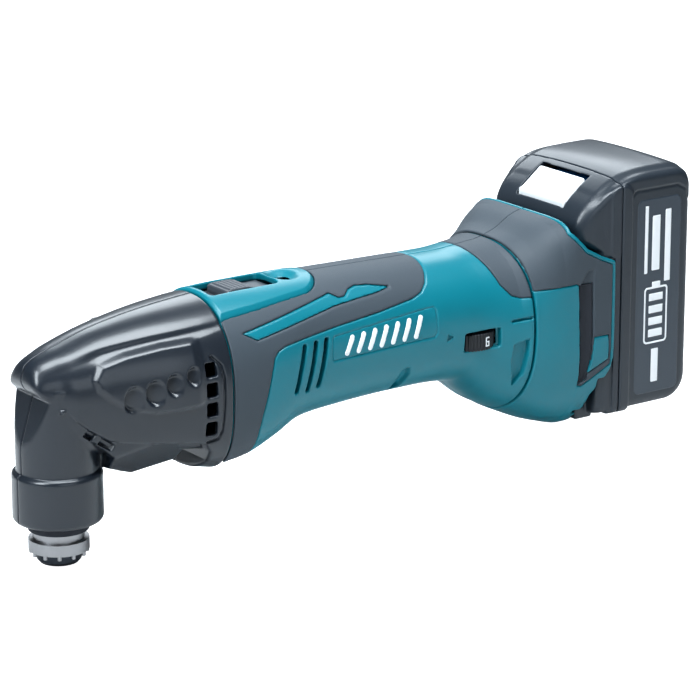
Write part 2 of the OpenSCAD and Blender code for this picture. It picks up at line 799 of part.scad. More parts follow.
head_cover_right();
head_cover_left();
head_screws();
gear_case();
spindle();
spindle_bearing_lower();
spindle_bearing_upper();
seal_ring();
swing_fork();
clamp_washer();
clamp_bolt();
led_lens();
led_board();
eccentric_shaft();
eccentric_bearing();
balance_weight();
motor_shaft();
armature_core();
armature_windings();
commutator();
cooling_fan();
motor_can();
magnets();
front_bearing();
rear_bearing();
brush_holder();
carbon_brushes();
brush_springs();
motor_housing_right();
motor_housing_left();
grip_right();
grip_left();
switch_bezel();
switch_slider();
switch_rod();
switch_body();
speed_dial();
dial_board();
badge_plates();
housing_screws();
wiring();
controller_board();
rear_housing_right();
rear_housing_left();
rear_grip_right();
rear_grip_left();
terminal_block();
terminal_blades();
battery_cover();
battery_case();
battery_cells();
cell_holders();
cell_straps();
battery_board();
battery_contacts();
battery_label();
latch_button();
latch_spring();
battery_screws();
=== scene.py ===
import json
import math

import bpy
import numpy as np
import openvdb as vdb
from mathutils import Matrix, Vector


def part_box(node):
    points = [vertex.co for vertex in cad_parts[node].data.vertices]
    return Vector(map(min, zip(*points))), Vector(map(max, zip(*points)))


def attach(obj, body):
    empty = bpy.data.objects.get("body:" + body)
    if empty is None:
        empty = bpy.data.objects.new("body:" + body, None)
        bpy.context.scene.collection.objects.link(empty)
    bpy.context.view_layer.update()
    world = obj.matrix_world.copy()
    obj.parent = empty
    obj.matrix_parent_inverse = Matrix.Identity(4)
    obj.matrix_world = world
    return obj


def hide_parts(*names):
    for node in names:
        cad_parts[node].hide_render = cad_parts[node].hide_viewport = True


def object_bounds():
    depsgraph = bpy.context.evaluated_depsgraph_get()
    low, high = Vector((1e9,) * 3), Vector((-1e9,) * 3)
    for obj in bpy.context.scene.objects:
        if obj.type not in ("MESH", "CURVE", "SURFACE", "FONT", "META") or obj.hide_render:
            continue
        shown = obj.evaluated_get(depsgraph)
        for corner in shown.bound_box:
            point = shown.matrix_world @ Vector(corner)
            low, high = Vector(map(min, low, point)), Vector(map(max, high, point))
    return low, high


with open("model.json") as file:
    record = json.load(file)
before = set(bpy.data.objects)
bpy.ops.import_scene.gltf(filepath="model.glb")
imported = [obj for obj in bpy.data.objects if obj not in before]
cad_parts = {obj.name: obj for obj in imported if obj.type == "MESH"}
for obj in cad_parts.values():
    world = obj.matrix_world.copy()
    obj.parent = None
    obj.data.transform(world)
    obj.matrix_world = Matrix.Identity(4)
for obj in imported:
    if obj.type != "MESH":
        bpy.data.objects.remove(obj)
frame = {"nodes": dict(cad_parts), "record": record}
CAD_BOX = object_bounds()

# Shapes are worked out in millimetres in the frame's axes, as distance fields, and meshed in metres.
MM = 0.001
COARSE = 1.0


def box_mm(node):
    low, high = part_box(node)
    return np.array(low) / MM, np.array(high) / MM


HEAD_LOW, HEAD_HIGH = box_mm("head_cover_right")
CASE_LOW, CASE_HIGH = box_mm("battery_case")
COVER_LOW = box_mm("battery_cover")[0]
SLIDER_LOW, SLIDER_HIGH = box_mm("switch_slider")
DIAL_LOW, DIAL_HIGH = box_mm("speed_dial")
BUTTON_LOW, BUTTON_HIGH = box_mm("latch_button")
LENS_LOW, LENS_HIGH = box_mm("led_lens")
BACK_X = box_mm("rear_grip_right")[1][0]
FLANGE_X = box_mm("rear_housing_right")[1][0]
CHANNEL_X = BACK_X + 8

SEAM_X = HEAD_HIGH[0]
COLLAR_R = -HEAD_LOW[0]
COLLAR_Z = HEAD_LOW[2]
WALL = 2.6
# Outer skin of the housings: x, top z, bottom z, half width, and height of the widest point
HEAD = [
    [-17.2, 79, 62, 10.5, 71.5], [-15.6, 81.6, 58, 12, 71], [-12.4, 84.4, 52, 13.8, 70],
    [-6.5, 87, 47, 16.8, 68.5], [0, 89.2, 42, 20.4, 67], [15, 93.8, 36, 23.4, 65],
    [31, 97, 30, 27, 64], [45, 99, 29.6, 30, 64], [59, 100.4, 27, 32, 64], [69, 101.2, 25, 32.6, 64],
]
HANDLE = [
    [68, 101.6, 25, 32.6, 64], [82, 102, 26.5, 32.6, 66], [97, 102, 31.5, 32, 69], [110, 102, 37.6, 31, 71],
    [125, 101.8, 39.6, 30.6, 71.5], [165, 101, 41.4, 30.2, 71.5], [198, 100.4, 39.8, 31, 71],
    [207, 101, 33.4, 32, 68], [214, 101.5, 28, 33.2, 65], [222, 102.3, 23.6, 34.8, 63],
    [232, 104.8, 18.8, 36.8, 60.5],
]
REAR = [
    [214, 101.5, 28, 33.4, 65], [222, 102.5, 23.4, 35, 63], [231, 105, 19, 36.8, 60.6],
    [240, 110, 15, 38.2, 59], [249, 112.4, 12, 38.5, 58], [256, 112.8, 10, 38.6, 58],
]
# Seam between the motor housing and the rear housing: centre and radius of its arc
ARC_X, ARC_Z, ARC_R = 28, 66, 200


# ---- Fields ----
def grid(low, high, step):
    step *= COARSE
    axes = [np.arange(a, b + step, step, dtype=np.float32) for a, b in zip(low, high)]
    return axes[0][:, None, None], axes[1][None, :, None], axes[2][None, None, :], step


def curve(x, table, column=1):
    """Smooth curve through the knots of a table."""
    t = np.array(table, float)
    xs, v = t[:, 0], t[:, column]
    last = len(v) - 1
    before = np.maximum(np.arange(len(v)) - 1, 0)
    after = np.minimum(np.arange(len(v)) + 1, last)
    m = (v[after] - v[before]) / (xs[after] - xs[before])
    i = np.clip(np.searchsorted(xs, x, side="right") - 1, 0, last - 1)
    h = xs[i + 1] - xs[i]
    s = np.clip((x - xs[i]) / h, 0, 1)
    out = (2 * s**3 - 3 * s**2 + 1) * v[i] + (s**3 - 2 * s**2 + s) * h * m[i]
    out += (3 * s**2 - 2 * s**3) * v[i + 1] + (s**3 - s**2) * h * m[i + 1]
    return out.astype(np.float32)


def smax(a, b, k):
    """Larger of two fields, so the common part of two shapes, with the corner between them rounded over k."""
    return np.maximum(a, b) + np.maximum(k - np.abs(a - b), 0) ** 2 / (4 * k)


def smin(a, b, k):
    """Smaller of two fields, so two shapes joined, with the corner between them filled over k."""
    return -smax(-a, -b, k)


def ease(x):
    """0 up to 0, 1 from 1 on, and a smooth step between."""
    x = np.clip(x, 0, 1)
    return x * x * (3 - 2 * x)


def skin(table, x, y, z, above, below):
    """Distance to the outer skin: a superellipse with one exponent above its widest point and one below."""
    top, low, half, mid = (curve(x, table, c) for c in (1, 2, 3, 4))
    upper = z >= mid
    n = np.where(upper, above, below)
    h = np.where(upper, top - mid, mid - low)
    a, b = np.abs(y) / half, np.abs(z - mid) / h
    g = np.maximum((a**n + b**n) ** (1 / n), 0.05)
    gy = (a / g) ** (n - 1) / half
    gz = (b / g) ** (n - 1) / h
    gx = np.gradient(g, x.ravel(), axis=0)
    return (g - 1) / np.sqrt(gx * gx + gy * gy + gz * gz)


def edge_distance(u, w, points, closed):
    best = np.full(np.broadcast(u, w).shape, 1e9, np.float32)
    pairs = list(zip(points, points[1:] + points[:1]))
    for (x0, z0), (x1, z1) in pairs if closed else pairs[:-1]:
        dx, dz = x1 - x0, z1 - z0
        t = np.clip(((u - x0) * dx + (w - z0) * dz) / (dx * dx + dz * dz), 0, 1)
        best = np.minimum(best, (u - x0 - t * dx) ** 2 + (w - z0 - t * dz) ** 2)
    return np.sqrt(best)


def poly(u, w, points):
    """Distance to a polygon's edge, below 0 inside it."""
    inside = np.zeros(np.broadcast(u, w).shape, bool)
    for (x0, z0), (x1, z1) in zip(points, points[1:] + points[:1]):
        if z0 != z1:
            inside ^= ((z0 > w) != (z1 > w)) & (u < x0 + (w - z0) * (x1 - x0) / (z1 - z0))
    return np.where(inside, -1, 1) * edge_distance(u, w, points, True)


def groove(u, w, points, width):
    """1 on a line, easing to 0 at half its width."""
    return 1 - ease(edge_distance(u, w, points, False) * 2 / width)


def slot2d(u, w, start, end, radius):
    """Distance to a straight slot with round ends."""
    return edge_distance(u, w, [start, end], False) - radius


def rect2d(u, w, centre, half, angle, radius):
    """Distance to a turned rectangle with round corners."""
    c, s = math.cos(math.radians(angle)), math.sin(math.radians(angle))
    a = np.abs((u - centre[0]) * c + (w - centre[1]) * s) - half[0] + radius
    b = np.abs((w - centre[1]) * c - (u - centre[0]) * s) - half[1] + radius
    return np.hypot(np.maximum(a, 0), np.maximum(b, 0)) + np.minimum(np.maximum(a, b), 0) - radius


def block(x, y, z, low, high, radius):
    """Distance to a box with rounded edges."""
    d = [np.abs(p - (a + b) / 2) - (b - a) / 2 + radius for p, a, b in zip((x, y, z), low, high)]
    outer = np.sqrt(sum(np.maximum(q, 0) ** 2 for q in d))
    return outer + np.minimum(np.maximum(np.maximum(d[0], d[1]), d[2]), 0) - radius


def rod(u, w, v, centre, r, v0, v1, radius):
    """Distance to a cylinder along v with rounded rims."""
    a = np.hypot(u - centre[0], w - centre[1]) - r + radius
    b = np.abs(v - (v0 + v1) / 2) - (v1 - v0) / 2 + radius
    return np.hypot(np.maximum(a, 0), np.maximum(b, 0)) + np.minimum(np.maximum(a, b), 0) - radius


# ---- Meshes ----
def relax(points, quads, rounds=2):
    """Evens out the small steps that a grid leaves, without shrinking the mesh."""
    a = quads.ravel()
    b = np.roll(quads, -1, axis=1).ravel()
    count = np.bincount(a, minlength=len(points)) + np.bincount(b, minlength=len(points))
    count = np.maximum(count, 1)[:, None]
    for i in range(2 * rounds):
        total = np.empty_like(points)
        for c in range(3):
            total[:, c] = np.bincount(a, points[b, c], len(points))
            total[:, c] += np.bincount(b, points[a, c], len(points))
        points = points + (0.5, -0.53)[i % 2] * (total / count - points)
    return points


def new_object(name, points, faces, finish, body, stands_for=(), smooth=True):
    mesh = bpy.data.meshes.new(name)
    sizes = np.array([len(f) for f in faces], np.int32)
    mesh.vertices.add(len(points))
    mesh.vertices.foreach_set("co", (np.asarray(points, float) * MM).astype(np.float32).ravel())
    mesh.loops.add(int(sizes.sum()))
    mesh.loops.foreach_set("vertex_index", np.concatenate([np.ravel(f) for f in faces]).astype(np.int32))
    mesh.polygons.add(len(faces))
    starts = np.concatenate([[0], np.cumsum(sizes)[:-1]]).astype(np.int32)
    mesh.polygons.foreach_set("loop_start", starts)
    mesh.polygons.foreach_set("use_smooth", np.full(len(faces), smooth))
    mesh.update(calc_edges=True)
    mesh.validate()
    obj = bpy.data.objects.new(name, mesh)
    bpy.context.scene.collection.objects.link(obj)
    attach(obj, body)
    obj.data.materials.append(MATERIALS[finish])
    if stands_for:
        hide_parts(*stands_for)
    return obj


def solid(name, field, x, y, z, step, finish, body, stands_for=(), flip=False):
    """Meshes the zero surface of a field, mirrored to the right side if flip is set."""
    band = 3 * step
    volume = vdb.FloatGrid()
    volume.background = band
    volume.copyFromArray(np.ascontiguousarray(np.clip(field, -band, band), np.float32), tolerance=0.0)
    points, _, quads = volume.convertToPolygons(isovalue=0.0, adaptivity=0.0)
    points = points.astype(float) * step + [x.flat[0], y.flat[0], z.flat[0]]
    points = relax(points, quads)
    quads = quads[:, ::-1]
    if flip:
        points[:, 1] *= -1
        quads = quads[:, ::-1]
    return new_object(name, points, quads, finish, body, stands_for)


def pair(name, field, x, y, z, step, finish, body="tool", replace=True):
    """The same field as a right piece and a left piece."""
    for side, flip in (("right", True), ("left", False)):
        piece = f"{name}_{side}"
        solid(piece, field, x, y, z, step, finish, body, [piece] if replace else [], flip=flip)


# ---- Materials ----
def linear(rgb):
    return [(c / 255 / 12.92 if c <= 10 else ((c / 255 + 0.055) / 1.055) ** 2.4) for c in rgb]


def surface(name, rgb, rough, metal=0.0, grain=1400.0, bump=0.25, tint=0.1, coat=0.0, stretch=(1, 1, 1),
            pattern=None, accent=None, sheen=0.0):
    """Procedural finish: slow tint, wandering roughness and fine relief, with an optional pattern."""
    m = bpy.data.materials.new(name)
    m.use_nodes = True
    nodes, links = m.node_tree.nodes, m.node_tree.links
    shader = nodes["Principled BSDF"]

    def add(kind, **values):
        n = nodes.new(kind)
        for key, value in values.items():
            if key in n.inputs:
                n.inputs[key].default_value = value
            else:
                setattr(n, key, value)
        return n

    where = add("ShaderNodeTexCoord")
    mapping = add("ShaderNodeMapping", Scale=stretch)
    links.new(where.outputs["Object"], mapping.inputs["Vector"])
    fine = add("ShaderNodeTexNoise", Scale=grain, Detail=3.0, Roughness=0.6)
    slow = add("ShaderNodeTexNoise", Scale=38.0, Detail=4.0, Roughness=0.55)
    links.new(mapping.outputs["Vector"], fine.inputs["Vector"])
    links.new(where.outputs["Object"], slow.inputs["Vector"])
    base = linear(rgb)
    shades = add("ShaderNodeMix", data_type="RGBA")
    shades.inputs["A"].default_value = [c * (1 - tint) for c in base] + [1]
    shades.inputs["B"].default_value = [min(1, c * (1 + tint)) for c in base] + [1]
    links.new(slow.outputs["Fac"], shades.inputs["Factor"])
    colour, height = shades.outputs["Result"], fine.outputs["Fac"]
    if pattern:
        texture = add(pattern[0], **pattern[1])
        links.new(mapping.outputs["Vector"], texture.inputs["Vector"])
        ramp = add("ShaderNodeMapRange")
        ramp.inputs["From Min"].default_value, ramp.inputs["From Max"].default_value = pattern[2]
        links.new(texture.outputs[pattern[3]], ramp.inputs["Value"])
        mix = add("ShaderNodeMix", data_type="RGBA")
        mix.inputs["B"].default_value = linear(accent or rgb) + [1]
        links.new(colour, mix.inputs["A"])
        links.new(ramp.outputs["Result"], mix.inputs["Factor"])
        colour = mix.outputs["Result"]
        joined = add("ShaderNodeMath", operation="MULTIPLY_ADD")
        joined.inputs[1].default_value = 2.0
        links.new(ramp.outputs["Result"], joined.inputs[0])
        links.new(height, joined.inputs[2])
        height = joined.outputs[0]
    links.new(colour, shader.inputs["Base Color"])
    wander = add("ShaderNodeMapRange")
    wander.inputs["To Min"].default_value = max(0.03, rough - 0.05)
    wander.inputs["To Max"].default_value = rough + 0.07
    links.new(slow.outputs["Fac"], wander.inputs["Value"])
    links.new(wander.outputs["Result"], shader.inputs["Roughness"])
    relief = add("ShaderNodeBump", Strength=bump, Distance=0.00012)
    links.new(height, relief.inputs["Height"])
    links.new(relief.outputs["Normal"], shader.inputs["Normal"])
    shader.inputs["Metallic"].default_value = metal
    shader.inputs["Coat Weight"].default_value = coat
    shader.inputs["Coat Roughness"].default_value = 0.18
    shader.inputs["Sheen Weight"].default_value = sheen
    return m


WAVE, CELLS = "ShaderNodeTexWave", "ShaderNodeTexVoronoi"
STRIPES = (WAVE, {"Scale": 900.0, "Distortion": 0.4}, (0.35, 0.65), "Fac")
TRACE_CELLS = {"Scale": 260.0, "distance": "CHEBYCHEV", "feature": "DISTANCE_TO_EDGE"}
TRACES = (CELLS, TRACE_CELLS, (0.05, 0.03), "Distance")
LAYERS = (WAVE, {"Scale": 420.0, "Distortion": 0.0}, (0.3, 0.7), "Fac")
BRUSHED = {"metal": 1.0, "grain": 500.0, "bump": 0.18, "stretch": (1, 1, 9)}
MATERIALS = {
    "head_plastic": surface("head_plastic", (26, 33, 42), 0.33, coat=0.5, bump=0.2),
    "screw_steel": surface("screw_steel", (150, 150, 152), 0.32, **BRUSHED),
    "cast_aluminium": surface("cast_aluminium", (165, 168, 172), 0.55, 1.0, 700, 0.6, 0.15),
    "spindle_steel": surface("spindle_steel", (158, 158, 160), 0.34, **BRUSHED),
    "bearing_steel": surface("bearing_steel", (190, 192, 196), 0.18, **BRUSHED),
    # Also the colour of the dark liner in the rear pocket, which is partly real dark rubber and partly
    # painted shade.
    "seal_rubber": surface("seal_rubber", (38, 42, 50), 0.7, bump=0.5),
    "forged_steel": surface("forged_steel", (105, 108, 114), 0.48, 1.0, 350, 0.6, 0.2),
    "dark_steel": surface("dark_steel", (62, 66, 72), 0.34, **BRUSHED),
    "clear_lens": surface("clear_lens", (225, 232, 238), 0.08, coat=0.6, tint=0.03, bump=0.05),
    "circuit_board": surface("circuit_board", (22, 92, 52), 0.4, pattern=TRACES, accent=(120, 160, 90)),
    "brass_weight": surface("brass_weight", (180, 142, 76), 0.35, **BRUSHED),
    "motor_steel": surface("motor_steel", (120, 122, 126), 0.42, 1.0, pattern=LAYERS, accent=(88, 90, 95)),
    "copper_wire": surface("copper_wire", (190, 96, 48), 0.3, 0.9, pattern=STRIPES, accent=(110, 48, 20)),
    "copper_bars": surface("copper_bars", (205, 118, 70), 0.24, **BRUSHED),
    "black_nylon": surface("black_nylon", (30, 32, 36), 0.5, grain=900, bump=0.4),
    "magnet_black": surface("magnet_black", (52, 54, 58), 0.6, grain=2200, bump=0.6),
    "carbon": surface("carbon", (38, 39, 41), 0.55, grain=3000, bump=0.5, tint=0.25),
    "spring_steel": surface("spring_steel", (200, 196, 184), 0.22, **BRUSHED),
    "teal_plastic": surface("teal_plastic", (0, 114, 128), 0.36, coat=0.15, bump=0.18, tint=0.05),
    "grip_rubber": surface("grip_rubber", (62, 71, 79), 0.6, grain=2600, bump=0.5, tint=0.06, sheen=0.05),
    "switch_plastic": surface("switch_plastic", (66, 70, 76), 0.42, bump=0.35),
    "wire_insulation": surface("wire_insulation", (178, 36, 30), 0.42, bump=0.2),
    "terminal_brass": surface("terminal_brass", (214, 178, 98), 0.25, **BRUSHED),
    "battery_plastic": surface("battery_plastic", (40, 47, 55), 0.34, coat=0.25, bump=0.22),
    "cell_wrap": surface("cell_wrap", (36, 110, 168), 0.25, coat=0.4, tint=0.05),
    "holder_plastic": surface("holder_plastic", (214, 208, 194), 0.5, bump=0.3),
    "nickel": surface("nickel", (200, 198, 190), 0.26, **BRUSHED),
    "label_print": surface("label_print", (56, 65, 75), 0.3, coat=0.3, bump=0.1),
    # The latch button's near-white colour is painted reflection: it stands for an overhead softbox mirrored
    # in the sloping face of a dark glossy button.
    "button_plastic": surface("button_plastic", (235, 238, 240), 0.35, tint=0.02, bump=0.12, coat=0.3),
    "white_print": surface("white_print", (236, 238, 240), 0.4, tint=0.03, bump=0.1),
}


def finish_cad_nodes():
    for part in frame["record"]["subparts"]:
        mesh = frame["nodes"][part["node"]].data
        mesh.materials.clear()
        mesh.materials.append(MATERIALS[part["material_slot"]])


# ---- Head ----
# Side views in x and z: the cover above its lip, its crease, the raised panel's top, and the panel
LIP = [
    (-40, 74.2), (-16.6, 74.2), (-11, 69.2), (-6.8, 66.4), (-4.2, 63.4), (2, 57.8), (8, 53.4), (13.6, 49.8),
    (20, 47.8), (30, 46.2), (38, 45.2), (46, 44), (52, 43.6), (57, 42), (59.4, 38.5), (60.2, 33.5),
    (58.8, 28.5), (55, 20), (90, 20), (90, 130), (-40, 130),
]
CREASE = [[-16, 82.5], [5, 88], [27, 91], [49, 93], [71, 94.4]]
PANEL_TOP = [[2, 76], [7, 80], [12, 82.6], [22, 85], [38, 87], [55, 88.3], [69, 90.4]]
PANEL = [
    (5.6, 77.5), (7.2, 72.6), (12, 68), (21, 62.3), (32, 59.4), (43, 59.6), (54, 60.5), (60, 66), (60, 90),
    (38, 89), (22, 87), (10, 84),
]
# Scallops along the panel: x, z and radius
SCALLOPS = [(19.2, 67.6, 5.2), (28.6, 69.4, 5.0), (37.6, 71.8, 4.4), (46.6, 74.4, 3.8)]
VENTS = [(58, 75.6), (58, 67), (58, 58.4), (58, 49.8)]
VENT_GROOVE = [(57, 43.6), (61.6, 44.6), (63.2, 48.6), (63.8, 59), (64, 71), (63, 76.4), (59, 80.8)]
BRACKET = [
    (-4, 64), (2, 55.6), (9, 48.2), (16, 42), (16.5, 35.5), (24, 32.2), (31, 29.4), (51, 32.4), (52.5, 37),
    (52.5, 66), (-4, 66),
]
HEAD_SCREWS = [(44, 37), (31, 89)]
NECK_R = COLLAR_R - 1.9
COLLAR_TOP = 35.6
NECK_MID, NECK_HALF = 54, 20
NOSE_X = -16.4
# A point of the neck's slanting front, and one of the bracket's slanting flank
FACET_X, FACET_Z = -17.2, 49
FLANK_Y, FLANK_Z = 9.2, 29.4
# The core behind the neck: its depth under the skin, and the x and z it starts from
CORE_DEPTH, CORE_X, CORE_Z = 5.0, -10, 37.5
# Recessed windows in the bracket: centre, half size and angle
WINDOWS = [((5.2, 53.6), (2.6, 2.0), -39), ((12.4, 48.6), (3.6, 1.8), -34)]
WINDOW_DEPTH = 1.5
VENT_HALF = (2.6, 3.1)
TAB_LOW, TAB_HIGH = (-7.6, 14.2, 64.4), (-4.4, 17.2, 66)
SPINDLE_HOLE_R = 13.1
LENS_R = 3.3
HEAD_SCREW_BOSS_R = 5.2
SCREW_HOLE_R = 3.5


def head_relief(x, z):
    """How far the side of the cover is sunk, as seen from the side."""
    crease, panel_top = curve(x, CREASE), curve(x, PANEL_TOP)
    t = (crease - z) / (crease - panel_top)
    depth = curve(x, [[-18, 0.2], [4, 0.8], [16, 1.4], [55, 1.2], [69, 0.9]])
    front = ease((x - 2) / 12)
    sunk = depth * ease((crease - z) / 4.5) * (1 - front * ease((t - 0.3) / 0.7))
    raised = 1.7 * ease(-poly(x, z, PANEL) / 2.6) * (1 - ease((x - 50) / 6))
    cut = 0
    for cx, cz, r in SCALLOPS:
        away = np.hypot(x - cx - 0.75 * r, (z - cz) / 1.2)
        cut = cut + 3.6 * ease((r - away) / 1.6) * np.clip(1.05 - (x - cx + 0.25 * r) / (1.7 * r), 0, 1)
    line = 1.4 * groove(x, z, VENT_GROOVE, 2.2)
    return sunk - raised + cut + line


def fuller(x):
    """The lower half is squarest at the nose and where the head meets the handle."""
    places = [0, 20, 35, 68, 97, 125, 205, 245]
    return np.interp(x, places, [2.7, 2.35, 2.25, 2.9, 2.5, 2.25, 2.25, 2.5]).astype(np.float32)


def squarer(x):
    """The upper half squares off towards the battery."""
    return np.interp(x, [205, 222, 232, 243, 249], [2.2, 2.35, 3.3, 4.8, 7]).astype(np.float32)


def head_field(x, y, z):
    away = skin(HEAD, x, y, z, 2.25, fuller(x))
    lip = poly(x, z, LIP)
    cover = smax(away + head_relief(x, z), lip, 1.4)
    cover = smax(cover, NOSE_X - x, 3.0)
    neck = np.hypot(x, y) - NECK_R
    facet = (-(x - FACET_X) * 17 + (z - FACET_Z) * 5.2) / 17.8
    neck = smax(neck, facet, 0.8)
    neck = smax(neck, np.abs(z - NECK_MID) - NECK_HALF, 1.0)
    collar = rod(x, y, z, (0, 0), COLLAR_R, COLLAR_Z, COLLAR_TOP, 2.4)
    bracket = smax(poly(x, z, BRACKET), 0.75 * (y - FLANK_Y) - 0.66 * (z - FLANK_Z), 1.6)
    bracket = smax(bracket, y - curve(x, HEAD, 3) + 3, 1.6)
    core = smax(smax(away + CORE_DEPTH, CORE_Z - z, 3.0), CORE_X - x, 1.0)
    lower = smin(neck, bracket, 3.5)
    windows = np.minimum.reduce([rect2d(x, z, *window, 0.6) for window in WINDOWS])
    lower = lower + WINDOW_DEPTH * ease(-windows / 0.7) * ease((y - 8) / 2)
    return np.minimum(np.minimum(cover, core), np.minimum(lower, collar))


def screw_holes(shell, x, y, z, places):
    """A left half with a round opening in its side over each housing screw."""
    for place in places:
        shell = smax(shell, -rod(x, z, y, place, SCREW_HOLE_R, 16, 50, 0.2), 0.5)
    return shell


def head_covers():
    x, y, z, step = grid((HEAD_LOW[0] - 1.5, -1, COLLAR_Z - 1), (SEAM_X + 1, 34.5, 103.5), 0.42)
    outer = head_field(x, y, z)
    shell = np.maximum(outer, -(outer + WALL))
    shell = np.maximum(shell, -rod(x, y, z, (0, 0), SPINDLE_HOLE_R, 0, 18, 0.1))
    vents = np.minimum.reduce([rect2d(x, z, v, VENT_HALF, 2, 0.9) for v in VENTS])
    shell = smax(shell, -smax(vents, 24 - y, 0.3), 0.5)
    lens = np.hypot(x - (LENS_LOW[0] + LENS_HIGH[0]) / 2, y) - LENS_R
    shell = smax(shell, -np.maximum(lens, z - 40), 0.4)
    shell = smax(smax(shell, x - SEAM_X + 0.3, 0.7), 0.12 - y, 0.5)
    tab = block(x, y, z, TAB_LOW, TAB_HIGH, 0.5)
    right = np.minimum(shell, tab)
    name = "head_cover_right"
    solid(name, right, x, y, z, step, "head_plastic", "tool", [name], flip=True)
    left = np.minimum(shell, rod(x, z, y, HEAD_SCREWS[0], HEAD_SCREW_BOSS_R, 8, 20, 0.8))
    left = screw_holes(left, x, y, z, HEAD_SCREWS)
    solid("head_cover_left", left, x, y, z, step, "head_plastic", "tool", ["head_cover_left"])


# ---- Handle ----
GRIP = [
    (60, 10), (60, 120), (184.5, 120), (183.5, 101), (180.5, 97), (176.6, 92.6), (172.5, 89.6), (167, 87.8),
    (148, 85.2), (123, 82.8), (104, 80.4), (96, 79.2), (92.4, 77.8), (90, 75), (88.6, 70),
    (86.5, 61), (84, 51), (83.2, 44), (83.4, 36), (82, 10),
]
INLAY = [
    (77, 87.2), (83, 83.9), (126, 91), (138, 91.9), (150, 92.7), (157.5, 93.8), (148, 95.6), (141, 96.1),
    (137, 95.4), (133.4, 93.4), (130.4, 93.2), (126.4, 95.4),
]
PATCH = [(209, 120), (209, 100), (211.5, 94), (213.8, 87), (217.9, 82), (222, 80.6), (240, 80.4), (240, 120)]
BADGE = [
    (121.5, 68), (176.2, 69.6), (177.8, 71.5), (178, 82), (176.6, 83.8), (122, 79.6), (120.8, 78),
    (120.4, 69.4),
]
# Long vents in the handle's side: the two ends of each
SIDE_VENTS = [((106.2, 77.4), (101.8, 58)), ((112.4, 78), (108.2, 57.6)), ((118, 78.4), (114.2, 58.6))]
DIAL_X = (DIAL_LOW[0] + DIAL_HIGH[0]) / 2
DIAL_Y = (DIAL_LOW[1] + DIAL_HIGH[1]) / 2
DIAL_Z = (DIAL_LOW[2] + DIAL_HIGH[2]) / 2
POINTER = [(183, 66.4), (183, 70), (186.4, 68.2)]
SLIT = [(215.9, 71.6), (227.2, 72.4), (227.2, 70.7), (217, 70.1)]
POCKET = [(217.5, 60.3), (225.6, 62.4), (225.6, 56.5), (223.8, 45.2), (220, 38.9), (216.9, 52.3)]
RECESS = [(159, 50), (160, 57), (164.6, 58), (166, 54), (165, 47), (160, 44)]
HANDLE_SCREWS = [(94, 42), (158, 54), (196, 88)]
# Depths under the outer skin: the inside of the housings, and the inside of the rubber
HOUSING_IN = 4.0
RUBBER_IN = 1.5
DIAL_WINDOW_HALF, DIAL_LEDGE_HALF = (8.3, 3.5), (9.2, 4.4)
BEZEL_TOP_Z = 93
BEZEL = [(68.9, -21.2), (88, -20.4), (106, -18.4)] + [
    (113 + 14.5 * math.cos(a), 17.6 * math.sin(a)) for a in np.linspace(-1.35, 1.35, 13)
] + [(106, 18.4), (88, 20.4), (68.9, 21.2)]


def arc(x, z):
    """Distance behind the curved seam between the motor housing and the rear housing."""
    return np.hypot(np.maximum(x - ARC_X, 0), z - ARC_Z) - ARC_R


def handle_skin(x, y, z):
    return skin(HANDLE, x, y, z, squarer(x), fuller(x))


def housing_relief(x, z):
    return (
        0.5 * ease(-poly(x, z, BADGE) / 0.5)
        + 1.7 * ease(-poly(x, z, SLIT) / 0.6)
        + np.interp(x, [216, 224], [1.8, 2.8]) * ease(-poly(x, z, POCKET) / 0.9)
        + 2.4 * ease(-poly(x, z, RECESS) / 1.2)
    )


def motor_housings():
    x, y, z, step = grid((SEAM_X, -1, 18), (232, 36.5, 103.5), 0.45)
    away = handle_skin(x, y, z)
    covered = np.maximum(-poly(x, z, INLAY), np.minimum(poly(x, z, GRIP), poly(x, z, PATCH)))
    under = ease(0.5 - covered / 0.5)
    plan = poly(x, y, BEZEL) - 0.3
    outer = away + 0.35 + 1.15 * under + housing_relief(x, z) * (y > 8)
    shell = smax(outer, -(away + HOUSING_IN), 0.3)
    shell = smax(shell, -np.maximum(plan, BEZEL_TOP_Z - z), 0.4)
    vents = np.minimum.reduce([slot2d(x, z, a, b, 1.15) for a, b in SIDE_VENTS])
    shell = smax(shell, -smax(vents, 20 - y, 0.3), 0.5)
    shell = smax(smax(shell, SEAM_X + 0.6 - x, 0.6), arc(x, z) + 0.4, 0.6)
    shell = smax(shell, 0.1 - y, 0.4)
    window = rect2d(x, z, (DIAL_X, DIAL_Z + 0.9), DIAL_WINDOW_HALF, 2, 0.6)
    ledge = rect2d(x, z, (DIAL_X, DIAL_Z + 0.9), DIAL_LEDGE_HALF, 2, 0.9)
    right = smax(shell, -smax(ledge, 28.6 + (x - DIAL_X) * 0.09 - y, 0.5), 0.6)
    right = smax(right, -smax(window, 20 - y, 0.3), 0.5)
    right = np.maximum(right, -smax(poly(x, z, POINTER), -(away + 1.6), 0.3))
    name = "motor_housing_right"
    solid(name, right, x, y, z, step, "teal_plastic", "tool", [name], flip=True)
    left = screw_holes(shell, x, y, z, HANDLE_SCREWS)
    solid("motor_housing_left", left, x, y, z, step, "teal_plastic", "tool", ["motor_housing_left"])


